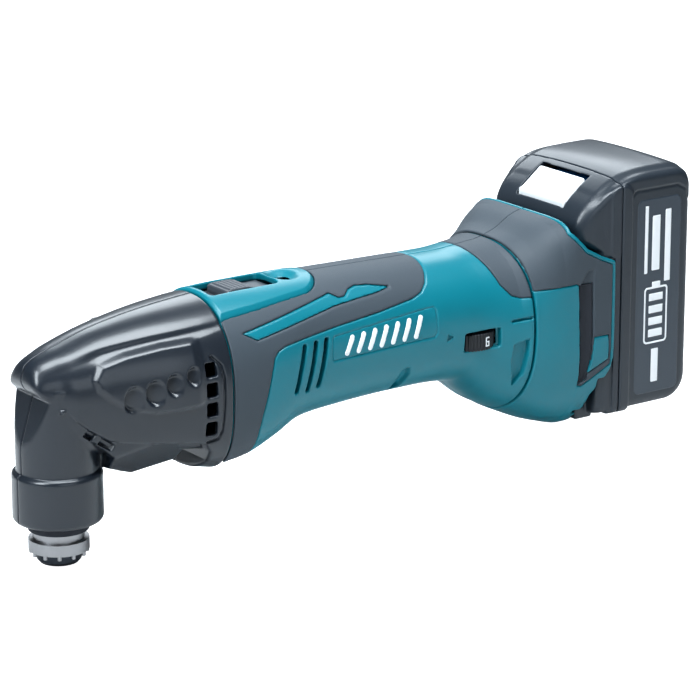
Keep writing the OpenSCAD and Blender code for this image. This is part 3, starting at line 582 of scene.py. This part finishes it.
def grips():
    x, y, z, step = grid((SEAM_X, -1, 18), (186, 36.5, 103.5), 0.45)
    away = handle_skin(x, y, z)
    edge = smax(poly(x, z, GRIP) + 0.15, -(poly(x, z, INLAY) - 0.15), 0.3)
    shell = smax(away + 0.25, edge, 1.0)
    shell = np.maximum(shell, -(away + RUBBER_IN))
    shell = smax(shell, -(poly(x, y, BEZEL) - 0.35), 0.5)
    shell = smax(smax(shell, SEAM_X + 0.65 - x, 0.6), 0.1 - y, 0.4)
    pair("grip", shell, x, y, z, step, "grip_rubber")
    x, y, z, step = grid((206, -1, 76), (232, 36.5, 105.5), 0.4)
    away = handle_skin(x, y, z)
    shell = smax(away + 0.2, smax(poly(x, z, PATCH) + 0.15, arc(x, z) + 0.45, 0.5), 0.9)
    shell = smax(np.maximum(shell, -(away + RUBBER_IN)), 0.1 - y, 0.4)
    pair("shoulder_patch", shell, x, y, z, step, "grip_rubber", replace=False)


def badge_plates():
    x, y, z, step = grid((118, 24, 64), (180, 34, 87), 0.35)
    away = handle_skin(x, y, z)
    plate = smax(away + 0.45, poly(x, z, BADGE) + 0.5, 0.6)
    plate = np.maximum(plate, -(away + 1.3))
    for side, flip in (("right", True), ("left", False)):
        stands = ["badge_plates"] if flip else []
        solid("badge_plate_" + side, plate, x, y, z, step, "teal_plastic", "tool", stands, flip=flip)
    pitch, bar_count = 6.2, 7
    bars = [
        ((128.5 + pitch * i, 70.8 + 0.2 * i), (131.5 + pitch * i, 77.4 + 0.42 * i)) for i in range(bar_count)
    ]
    ink = np.minimum.reduce([slot2d(x, z, a, b, 1.25) for a, b in bars])
    ink = np.maximum(np.maximum(away + 0.25, -(away + 1.1)), ink)
    pair("badge_marks", ink, x, y, z, step, "white_print", replace=False)


# ---- Switch ----
# The thumb bowl behind the slider, in plan: centre x, radii and depth
BOWL_X, BOWL_RX, BOWL_RY, BOWL_DEPTH = 114.5, 8.4, 9.6, 3.2
SLOT_CENTRE, SLOT_HALF = (89.6, 0), (17.6, 9.2)
SLIDER_HALF_Y = 7.8
RIB_PITCH, RIB_HEIGHT = 2.1, 0.45


def switch_bezel():
    x, y, z, step = grid((SEAM_X, -22.5, 92), (129, 22.5, 104), 0.33)
    away = handle_skin(x, y, z)
    plan = poly(x, y, BEZEL)
    bowl = np.hypot((x - BOWL_X) / BOWL_RX, y / BOWL_RY)
    top = away - 0.45 + BOWL_DEPTH * ease((1 - bowl) / 0.75) + 0.9 * ease((plan + 1.5) / 1.5)
    frame_top = smax(top, plan, 0.6)
    frame_top = smax(frame_top, -(away + 2.6), 0.3)
    slot = rect2d(x, y, SLOT_CENTRE, SLOT_HALF, 0, 2.0)
    frame_top = smax(frame_top, -slot, 0.8)
    frame_top = smax(frame_top, SEAM_X + 0.6 - x, 0.6)
    solid("switch_bezel", frame_top, x, y, z, step, "teal_plastic", "tool", ["switch_bezel"])


def switch_slider():
    low, high = SLIDER_LOW - 1, SLIDER_HIGH + 1
    x, y, z, step = grid((low[0], -11, low[2]), (high[0], 11, high[2]), 0.25)
    x0, x1, top = SLIDER_LOW[0] + 1.5, SLIDER_LOW[0] + 16.5, SLIDER_HIGH[2] - 1.8
    base = block(x, y, z, (SLIDER_LOW[0], -10, SLIDER_LOW[2]), (SLIDER_HIGH[0], 10, SLIDER_LOW[2] + 1), 0.2)
    half, back = SLIDER_HALF_Y, SLIDER_HIGH[0] - 1.4
    plate = block(x, y, z, (x0, -half, SLIDER_LOW[2]), (back, half, top - 2.8), 0.5)
    knob = block(x, y, z, (x0, -half, top - 6), (x1, half, top), 0.9)
    knob = smax(knob, ((z - top) * 14 + (x - x1 + 3.4) * 4.4) / 14.7, 0.6)
    knob = smax(knob, ((z - top) * 14 - (x - x0 - 2.6) * 6) / 15.2, 0.6)
    ribs = RIB_HEIGHT * (0.5 + 0.5 * np.cos((x - x0) * 2 * math.pi / RIB_PITCH))
    ribs = ribs * ease((z - top + 3) / 1.5) * ease((7.2 - np.abs(y)) / 0.6)
    field = np.minimum(np.minimum(base, plate), knob + ribs)
    solid("switch_slider", field, x, y, z, step, "switch_plastic", "switch", ["switch_slider"])


# ---- Speed dial ----
KNURLS, KNURL_DEPTH = 48, 0.42
AXLE_R = 2.1
# The digit 6 sits at this angle round the wheel, and the others follow at even steps
DIGIT_6_ANGLE, DIGIT_STEP = -80, 50
# Strokes of each digit, and where each stroke runs on a cell 1 wide and 2 tall
SEGMENTS = {1: "bc", 2: "abged", 3: "abgcd", 4: "fgbc", 5: "afgcd", 6: "afgedc"}
STROKES = {
    "a": ((0, 2), (1, 2)), "b": ((1, 2), (1, 1)), "c": ((1, 1), (1, 0)), "d": ((0, 0), (1, 0)),
    "e": ((0, 1), (0, 0)), "f": ((0, 2), (0, 1)), "g": ((0, 1), (1, 1)),
}


def speed_dial():
    r = (DIAL_HIGH[0] - DIAL_LOW[0]) / 2
    x, y, z, step = grid(DIAL_LOW - 1, DIAL_HIGH + 1, 0.25)
    turn = np.arctan2(y - DIAL_Y, x - DIAL_X)
    wheel = rod(x, y, z, (DIAL_X, DIAL_Y), r, DIAL_LOW[2], DIAL_HIGH[2], 0.7)
    knurls = KNURL_DEPTH * (0.5 + 0.5 * np.cos(KNURLS * turn))
    wheel = wheel + knurls * ease((4.6 - np.abs(z - DIAL_Z)) / 1.2)
    wheel = smax(wheel, -(np.hypot(x - DIAL_X, y - DIAL_Y) - AXLE_R), 0.4)
    solid("speed_dial", wheel, x, y, z, step, "black_nylon", "dial", ["speed_dial"])
    points, faces = [], []
    for digit, strokes in SEGMENTS.items():
        centre = math.radians(DIGIT_6_ANGLE + (6 - digit) * DIGIT_STEP)
        for s in strokes:
            dial_stroke(points, faces, r + 0.12, centre, *STROKES[s])
    new_object("dial_digits", np.array(points), np.array(faces), "white_print", "dial", smooth=False)


def dial_stroke(points, faces, r, centre, start, end):
    """A raised bar of a digit on the wheel's rim, drawn on a 1 by 2 cell."""
    wide, tall, pen, lift = 1.7, 1.85, 0.27, 0.35
    a0, a1 = (min(start[0], end[0]) - 0.5) * wide - pen, (max(start[0], end[0]) - 0.5) * wide + pen
    z0, z1 = (min(start[1], end[1]) - 1) * tall - pen, (max(start[1], end[1]) - 1) * tall + pen
    first = len(points)
    for radius in (r - lift, r):
        for a, h in ((a0, z0), (a1, z0), (a1, z1), (a0, z1)):
            turn = centre + a / r
            points.append((DIAL_X + radius * math.cos(turn), DIAL_Y + radius * math.sin(turn), DIAL_Z + h))
    for quad in ((4, 5, 6, 7), (3, 2, 1, 0), (0, 1, 5, 4), (1, 2, 6, 5), (2, 3, 7, 6), (3, 0, 4, 7)):
        faces.append([first + i for i in quad])


# ---- Rear housing ----
REAR_GRIP = [
    (190, 83), (225.6, 83.1), (249.2, 84), (250.6, 83.2), (251.4, 60), (252.5, 35.4), (254.6, 34.8),
    (269.8, 43.4), (270, 90.2), (263.3, 93.1), (254.9, 97.6), (247.1, 106.4), (247.1, 130), (190, 130),
]
POCKET_INSERT = [(256.8, 40.9), (268.8, 46.2), (268.2, 57.5), (260, 57.6), (258.9, 47)]
REAR_POCKET = [(250.8, 83), (252.7, 35.8), (256, 37.6), (259, 46), (259.8, 58), (259.4, 90), (256, 90)]
# Outline of the dark strip down the pocket's front: partly a dark rubber liner, partly painted shade where
# the pocket floor lies in shadow.
REAR_STRIP = [(250.9, 83.1), (251.6, 60), (252.8, 36), (256.6, 38), (258.2, 46), (259, 58), (258.4, 83.4)]
RIM_CUT = [(248.7, 140), (248.7, 107.4), (256, 99.2), (264, 94.8), (271.7, 91.5), (290, 91.5), (290, 140)]
REAR_SCREWS = [(240, 30), (244, 72)]
FLANGE_Y = 35.9
# The open back: its half width, the top of its floor, and the lower edge of its upright wall
OPENING_Y, FLOOR_Z, WALL_Z = 28.2, 18, 16
# Passages through the wall for the contacts and for the latch tooth: half widths and heights
CONTACTS_Y, CONTACTS_Z, CONTACTS_HALF = 22.4, 50, 14
CATCH_Y, CATCH_Z, CATCH_X = 9, 92, 252.6
FRONT_WALL_X, FRONT_WALL_HALF, FRONT_WALL_Z = 246.3, 1.3, 90
# The side flange's back edge drops straight and curls forward at its foot
FLANGE = [
    (200, 130), (200, 0), (259.5, 0), (260.5, 20), (261.6, 29), (264, 32), (268, 36.5), (270.6, 41),
    (FLANGE_X, 46), (FLANGE_X, 130),
]


def rear_skin(x, y, z):
    return skin(REAR, x, y, z, squarer(x), fuller(x))


def rear_relief(x, z):
    return 2.1 * ease(-poly(x, z, REAR_POCKET) / 0.9) * (1 - 0.8 * ease((x - 252) / 7.5))


def rear_housings():
    x, y, z, step = grid((212, -1, 7), (FLANGE_X + 1, 40, 114.5), 0.45)
    away = rear_skin(x, y, z)
    covered = np.maximum(poly(x, z, REAR_GRIP), -poly(x, z, POCKET_INSERT))
    under = ease(0.5 - covered / 0.5)
    outer = away + 0.3 + 1.2 * under + rear_relief(x, z) * (y > 20)
    shell = np.maximum(outer, -(away + HOUSING_IN))
    wall = np.maximum(outer, np.maximum(BACK_X - 3.5 - x, WALL_Z - z))
    tray = np.maximum(outer, np.maximum(BACK_X - 3.5 - x, z - FLOOR_Z))
    front_wall = np.maximum(np.abs(x - FRONT_WALL_X) - FRONT_WALL_HALF, FRONT_WALL_Z - z)
    front_wall = np.maximum(away + 2.0, front_wall)
    shell = np.minimum(smin(shell, np.minimum(wall, tray), 0.4), front_wall)
    opening = smax(BACK_X + 0.02 - x, y - OPENING_Y, 0.6)
    opening = smax(opening, FLOOR_Z + 1.2 - z, 0.6)
    shell = smax(shell, -opening, 0.6)
    shell = smax(shell, -smax(CHANNEL_X - x, y - FLANGE_Y, 0.4), 0.6)
    shell = smax(shell, -poly(x, z, RIM_CUT), 0.6)
    contacts = np.maximum(y - CONTACTS_Y, np.abs(z - CONTACTS_Z) - CONTACTS_HALF)
    shell = smax(shell, -np.maximum(BACK_X - 5 - x, contacts), 0.4)
    catch = np.maximum(y - CATCH_Y, CATCH_Z - z)
    shell = smax(shell, -np.maximum(CATCH_X - x, catch), 0.4)
    shell = smax(smax(shell, 0.55 - arc(x, z), 0.7), poly(x, z, FLANGE), 0.8)
    shell = smax(shell, 0.1 - y, 0.4)
    name = "rear_housing_right"
    solid(name, shell, x, y, z, step, "teal_plastic", "tool", [name], flip=True)
    shell = screw_holes(shell, x, y, z, REAR_SCREWS)
    solid("rear_housing_left", shell, x, y, z, step, "teal_plastic", "tool", ["rear_housing_left"])


def rear_grips():
    x, y, z, step = grid((212, -1, 28), (FLANGE_X + 1, 40, 114.5), 0.42)
    away = rear_skin(x, y, z)
    relief = rear_relief(x, z) * (y > 20)
    edge = smax(poly(x, z, REAR_GRIP) + 0.15, -(poly(x, z, POCKET_INSERT) - 0.15), 0.3)
    edge = smax(edge, 0.65 - arc(x, z), 0.5)
    # The dark liner in the strip is partly real dark rubber and partly painted shade on the shadowed pocket
    # floor.
    liner = np.maximum(away + 0.2 + relief, -(away + relief + RUBBER_IN))
    liner = np.maximum(liner, poly(x, z, REAR_STRIP) + 0.1)
    pair("pocket_liner_and_shade", liner, x, y, z, step, "seal_rubber", replace=False)
    shell = smax(away + 0.15 + relief, np.maximum(edge, 0.1 - poly(x, z, REAR_STRIP)), 0.6)
    shell = np.maximum(shell, -(away + relief + RUBBER_IN))
    shell = smax(shell, -np.maximum(BACK_X - x, y - FLANGE_Y), 0.3)
    shell = smax(shell, 0.1 - y, 0.4)
    pair("rear_grip", shell, x, y, z, step, "grip_rubber")


# ---- Battery ----
BATTERY_Y = CASE_HIGH[1]
BATTERY_Z0, BATTERY_Z1 = CASE_LOW[2] + 0.6, CASE_HIGH[2] + 0.9
SPLIT_X = CASE_LOW[0]
CROWN = 3.0
# Front slope of the pack in side view
SLOPE = [
    (254.8, 96), (254.8, 102), (254.9, 108), (256.2, 112.6), (259.5, 117.3), (264.4, 121.4), (271.1, 125.9),
    (278.4, 129.4), (286, 131.6), (296, 133.4),
]


def smoothed(points, parts):
    """More points on a smooth curve through a line's points."""
    t = np.arange(0, len(points) - 1 + 0.5 / parts, 1 / parts)
    columns = [curve(t, [[i, p[c]] for i, p in enumerate(points)]) for c in (0, 1)]
    return [(float(a), float(b)) for a, b in zip(*columns)]


HUMP = [(254.8, -60)] + smoothed(SLOPE, 5) + [(340, 134), (340, -60)]
LABEL_LINE = [(282, 16), (282, 119.4), (284.3, 121.7), (309, 121.7), (313.5, 119.2), (316.6, 113)]
LABEL_PANEL = [(282, 14)] + LABEL_LINE[1:] + [(330, 113), (330, 14)]
CORNER_R = 13
# The strip that stands proud along the front of each flank: centre, half size and height
STRIP_CENTRE, STRIP_HALF, STRIP_HEIGHT = (276.3, 70), (5.3, 54.6), 0.9
CASE_WALL, COVER_WALL = 2.2, 2.4
# The cover's face under the hump, and a point of the slant between its face and its flank
FACE_X = 264.6
CHEEK_X, CHEEK_Y = 257, 32.6
# The well that the latch works in: its half width, floor, back, and the recess under its roof
WELL_Y, WELL_Z, WELL_X = 17, 91.5, 272.2
RECESS_X, ROOF_Z = 274.7, 126.5
# Blocks on the cover's front, as lowest and highest corner
APRON = ((254, -18, 101), (257.8, 18, 115.3))
FOOT = ((258.6, 14, 15.8), (268.6, 27, 26))
RAILS = ((256.7, -27.4, 24), (259.7, 27.4, 99))
WEB = ((259, -25, 24), (FACE_X + 1, 25, 102))


def battery_outline(x, y, z):
    """The pack's outside: rounded rear corners, a crowned top and a sloping front."""
    centre, half = (CASE_LOW[0] + CASE_HIGH[0]) / 2, (CASE_HIGH[0] - CASE_LOW[0]) / 2
    middle, tall = (BATTERY_Z0 + BATTERY_Z1) / 2, (BATTERY_Z1 - BATTERY_Z0) / 2
    side = rect2d(x, z, (centre - 30, middle), (half + 30.4, tall), 0, CORNER_R)
    crown = z - BATTERY_Z1 + CROWN * (y / BATTERY_Y) ** 2
    slope = poly(x, z + 0.6 * CROWN * (y / BATTERY_Y) ** 2, HUMP)
    body = smax(side, np.abs(y) - BATTERY_Y, 5.0)
    return smax(smax(body, crown, 3.0), slope, 2.0)


def proud_strip(x, y, z):
    """How far the flank is set back from the strip that stands proud along its front."""
    strip = rect2d(x, z, STRIP_CENTRE, STRIP_HALF, 0, 4.6)
    return STRIP_HEIGHT * ease(strip / 1.1) * ease((y - 28) / 5)


def mirrored(field, y):
    """A field worked out for y of 0 and up, made whole."""
    keep = y.ravel() >= -1e-6
    half, ys = field[:, keep], y.ravel()[keep]
    return np.concatenate([half[:, :0:-1], half], axis=1), np.concatenate([-ys[:0:-1], ys])[None, :, None]


def whole_grid(x0, x1, y1, z0, z1, step):
    """A grid over the half with y of 0 and up, with a row of points exactly at 0."""
    x, _, z, step = grid((x0, 0, z0), (x1, 0, z1), step)
    y = np.arange(0, y1 + step, step, dtype=np.float32)[None, :, None]
    return x, y, z, step


def battery_body():
    z0, z1 = BATTERY_Z0 - 1, BATTERY_Z1 + 1
    x, y, z, step = whole_grid(SPLIT_X - 1, CASE_HIGH[0] + 1, BATTERY_Y + 1, z0, z1, 0.5)
    outer = battery_outline(x, y, z)
    line = groove(x, z, LABEL_LINE, 1.4)
    panel = 0.2 * ease(-poly(x, z, LABEL_PANEL) / 0.5) + 0.6 * line
    outer = outer + proud_strip(x, y, z) + panel * ease((y - 28) / 5)
    shell = np.maximum(outer, -(outer + CASE_WALL))
    shell = smax(shell, SPLIT_X + 0.08 - x, 0.6)
    whole, ys = mirrored(shell, y)
    solid("battery_case", whole, x, ys, z, step, "battery_plastic", "battery", ["battery_case"])


def battery_cover():
    front, z0, z1 = COVER_LOW[0] - 3.5, BATTERY_Z0 - 3, BATTERY_Z1 + 1
    x, y, z, step = whole_grid(front, SPLIT_X + 1, BATTERY_Y + 1, z0, z1, 0.45)
    outline = battery_outline(x, y, z) + proud_strip(x, y, z)
    lower = smax(outline, FACE_X - x, 3.2)
    hump = smax(outline, poly(x, z, RIM_CUT) + 0.8, 1.0)
    body = smin(lower, hump, 1.0)
    body = smax(body, 0.946 * (y - CHEEK_Y) - 0.325 * (x - CHEEK_X), 4.5)
    beside_flange = np.maximum(FLANGE_Y - 0.5 - y, x - FLANGE_X - 0.9)
    body = smax(body, -np.maximum(beside_flange, -poly(x, z, RIM_CUT) - 0.7), 0.5)
    body = np.maximum(body, -(body + COVER_WALL))
    end = np.minimum(x - WELL_X, np.maximum(x - RECESS_X, z - ROOF_Z))
    body = smax(body, -np.maximum(np.maximum(y - WELL_Y, end), WELL_Z - z), 0.5)
    apron = smax(block(x, y, z, *APRON, 0.5), outline, 1.0)
    body = np.minimum(body, apron)
    foot = block(x, y, z, *FOOT, 1.2)
    rails = block(x, y, z, *RAILS, 0.5)
    web = block(x, y, z, *WEB, 0.5)
    slots = np.abs(y - 12) - 3
    tray = np.maximum(np.minimum(rails, web), -np.maximum(np.maximum(slots, z - 74), x - 263.4))
    tray = np.maximum(tray, -np.maximum(y - WELL_Y, WELL_Z - z))
    body = smin(smin(body, tray, 0.4), foot, 0.6)
    body = smax(body, x - SPLIT_X + 0.12, 0.7)
    whole, ys = mirrored(body, y)
    solid("battery_cover", whole, x, ys, z, step, "battery_plastic", "battery", ["battery_cover"])


# A point of the latch's slanting face, and its stem and tooth as lowest and highest corner
LATCH_X, LATCH_Z = 258.4, 116.4
STEM = ((258.4, -16.4, 100), (261.8, 16.4, 117))
TOOTH_ROOT = ((258.4, -8, 93), (262, 8, 101))
TOOTH_TIP = ((253.6, -8, 93.4), (259.4, 8, 98.6))


def latch_button():
    x0, x1 = BUTTON_LOW[0] - 5.5, BUTTON_HIGH[0] + 1
    x, y, z, step = whole_grid(x0, x1, 17.5, BUTTON_LOW[2] - 1, BUTTON_HIGH[2] + 2, 0.33)
    face = (z - LATCH_Z) * 0.788 - (x - LATCH_X) * 0.615
    pad = smax(smax(face, -face - 3.2, 0.6), y - 16.4, 1.4)
    pad = smax(smax(pad, x - 270.8, 1.0), 258.1 - x, 0.6)
    stem = block(x, y, z, *STEM, 0.6)
    tooth = np.minimum(block(x, y, z, *TOOTH_ROOT, 0.3), block(x, y, z, *TOOTH_TIP, 0.6))
    field = np.minimum(smin(pad, stem, 0.6), tooth)
    whole, ys = mirrored(field, y)
    # The button's near-white finish is painted reflection of an overhead softbox on its slanting face.
    solid("latch_button", whole, x, ys, z, step, "button_plastic", "latch", ["latch_button"])


def battery_screws():
    """The four screws that close the pack, trimmed to lie under the cover's skin."""
    low, high = box_mm("battery_screws")
    x, y, z, step = whole_grid(low[0] - 1, high[0] + 1, high[1] + 1, low[2] - 1, high[2] + 1, 0.4)
    field = 9.0
    for cz, seat in ((low[2] + 3, low[0] + 2.4), (high[2] - 3, SPLIT_X - 1.4)):
        head = rod(y, z, x, (high[1] - 3, cz), 3, seat - 2.4, seat, 0.4)
        shank = rod(y, z, x, (high[1] - 3, cz), 1.5, seat - 0.5, SPLIT_X + 11, 0.3)
        field = np.minimum(field, np.minimum(head, shank))
    field = np.maximum(np.maximum(field, battery_outline(x, y, z) + 1.6), low[0] + 2.2 - x)
    whole, ys = mirrored(field, y)
    solid("battery_screws", whole, x, ys, z, step, "screw_steel", "battery", ["battery_screws"])


def battery_labels():
    """A printed panel with plain shapes: a cell outline with four charge bars, and strips."""
    x, y, z, step = grid((280, BATTERY_Y - 3, 22), (316, BATTERY_Y + 1, 128), 0.35)
    outer = battery_outline(x, y, z) + 1.1
    panel = np.maximum(np.maximum(outer - 0.16, -outer - 0.3), rect2d(x, z, (298, 71), (13, 46), 0, 3))
    cell = np.abs(rect2d(x, z, (297, 62), (6.4, 13), 0, 1.4)) - 0.55
    bars = np.minimum.reduce([rect2d(x, z, (297, 53.4 + 5.7 * i), (4.2, 1.9), 0, 0.4) for i in range(4)])
    cap = rect2d(x, z, (297, 76.6), (2.6, 1.2), 0, 0.4)
    strips = np.minimum.reduce([
        rect2d(x, z, (290.6, 98), (1.0, 16), 0, 0.5), rect2d(x, z, (296.4, 96), (2.4, 13), 0, 0.6),
        rect2d(x, z, (303.4, 94), (1.8, 17), 0, 0.5), rect2d(x, z, (297, 38), (2.2, 8), 0, 0.5),
    ])
    marks = np.minimum(np.minimum(cell, bars), np.minimum(cap, strips))
    ink = np.maximum(np.maximum(outer - 0.3, -outer - 0.1), marks)
    for side, flip in (("right", True), ("left", False)):
        stands = ["battery_label"] if flip else []
        solid("battery_label_" + side, panel, x, y, z, step, "label_print", "battery", stands, flip=flip)
    pair("battery_marks", ink, x, y, z, step, "white_print", "battery", replace=False)


# ---- Studio ----
LOOK_AT = (150, 0, 60)
COOL = (0.88, 0.95, 1)
# Softboxes aimed at the tool: degrees round, degrees up, distance, size and power
LAMPS = [
    ("softbox_top", -20, 80, 1.0, (0.8, 0.55), 15),
    ("key_left", -82, 38, 1.1, (0.35, 0.7), 9),
    ("fill_front", -10, 20, 1.3, (0.9, 0.5), 2.2),
    ("rim_back", 150, 35, 1.2, (0.8, 0.5), 5),
]
CAMERA_ROUND, CAMERA_UP, CAMERA_AWAY = -35.5, 16.5, 1.549
LENS_MM, SENSOR_MM = 180, 36
SHIFT_X, SHIFT_Y = 0.0037, 0.0043


def floor(centre, half):
    signs = ((-1, -1), (1, -1), (1, 1), (-1, 1))
    corners = [(centre[0] + a * half, centre[1] + b * half, centre[2]) for a, b in signs]
    mesh = bpy.data.meshes.new("floor")
    mesh.from_pydata(corners, [], [(0, 1, 2, 3)])
    obj = bpy.data.objects.new("floor", mesh)
    bpy.context.scene.collection.objects.link(obj)
    mesh.materials.append(floor_material())


def floor_material():
    """Pale paper that looks evenly bright to the camera and throws little light back up."""
    m = bpy.data.materials.new("studio_floor")
    m.use_nodes = True
    nodes, links = m.node_tree.nodes, m.node_tree.links
    shader, output = nodes["Principled BSDF"], nodes["Material Output"]
    shader.inputs["Roughness"].default_value = 0.9
    noise = nodes.new("ShaderNodeTexNoise")
    noise.inputs["Scale"].default_value = 12
    tint = nodes.new("ShaderNodeMapRange")
    tint.inputs["To Min"].default_value, tint.inputs["To Max"].default_value = 0.62, 0.65
    links.new(noise.outputs["Fac"], tint.inputs["Value"])
    links.new(tint.outputs["Result"], shader.inputs["Base Color"])
    glow = nodes.new("ShaderNodeEmission")
    glow.inputs["Color"].default_value = (0.98, 0.99, 1, 1)
    glow.inputs["Strength"].default_value = 0.86
    both = nodes.new("ShaderNodeAddShader")
    rays = nodes.new("ShaderNodeLightPath")
    mix = nodes.new("ShaderNodeMixShader")
    links.new(shader.outputs["BSDF"], both.inputs[0])
    links.new(glow.outputs["Emission"], both.inputs[1])
    links.new(rays.outputs["Is Camera Ray"], mix.inputs["Fac"])
    links.new(shader.outputs["BSDF"], mix.inputs[1])
    links.new(both.outputs["Shader"], mix.inputs[2])
    links.new(mix.outputs["Shader"], output.inputs["Surface"])
    return m


def direction(azimuth, elevation):
    """Unit vector towards a lamp or the camera: degrees round from the front, and degrees up."""
    a, e = math.radians(azimuth), math.radians(elevation)
    return Vector((math.sin(a) * math.cos(e), -math.cos(a) * math.cos(e), math.sin(e)))


def lamp(name, centre, azimuth, elevation, away, size, power):
    data = bpy.data.lights.new(name, "AREA")
    data.shape, data.size, data.size_y = "RECTANGLE", size[0], size[1]
    data.energy, data.color = power, COOL
    obj = bpy.data.objects.new(name, data)
    back = direction(azimuth, elevation)
    obj.location = Vector(centre) + back * away
    obj.rotation_euler = back.to_track_quat("Z", "Y").to_euler()
    bpy.context.scene.collection.objects.link(obj)


def studio():
    low, high = (Vector(v) for v in CAD_BOX)
    centre = (low + high) / 2
    floor((centre.x, centre.y, low.z - 0.0005), 6)
    for name, *settings in LAMPS:
        lamp(name, centre, *settings)
    world = bpy.data.worlds.new("studio")
    world.use_nodes = True
    back = world.node_tree.nodes["Background"]
    back.inputs["Color"].default_value = (*COOL, 1)
    back.inputs["Strength"].default_value = 0.16
    scene = bpy.context.scene
    scene.world = world
    scene.view_settings.view_transform = "Standard"
    scene.view_settings.look = "Medium High Contrast"
    camera_at(Vector(LOOK_AT) * MM)


def camera_at(target):
    back = direction(CAMERA_ROUND, CAMERA_UP)
    data = bpy.data.cameras.new("camera")
    data.lens, data.sensor_width = LENS_MM, SENSOR_MM
    data.shift_x, data.shift_y = SHIFT_X, SHIFT_Y
    obj = bpy.data.objects.new("camera", data)
    obj.location = target + back * CAMERA_AWAY
    obj.rotation_euler = back.to_track_quat("Z", "Y").to_euler()
    bpy.context.scene.collection.objects.link(obj)
    bpy.context.scene.camera = obj


finish_cad_nodes()
head_covers()
motor_housings()
grips()
badge_plates()
switch_bezel()
switch_slider()
speed_dial()
rear_housings()
rear_grips()
battery_body()
battery_cover()
latch_button()
battery_screws()
battery_labels()
studio()
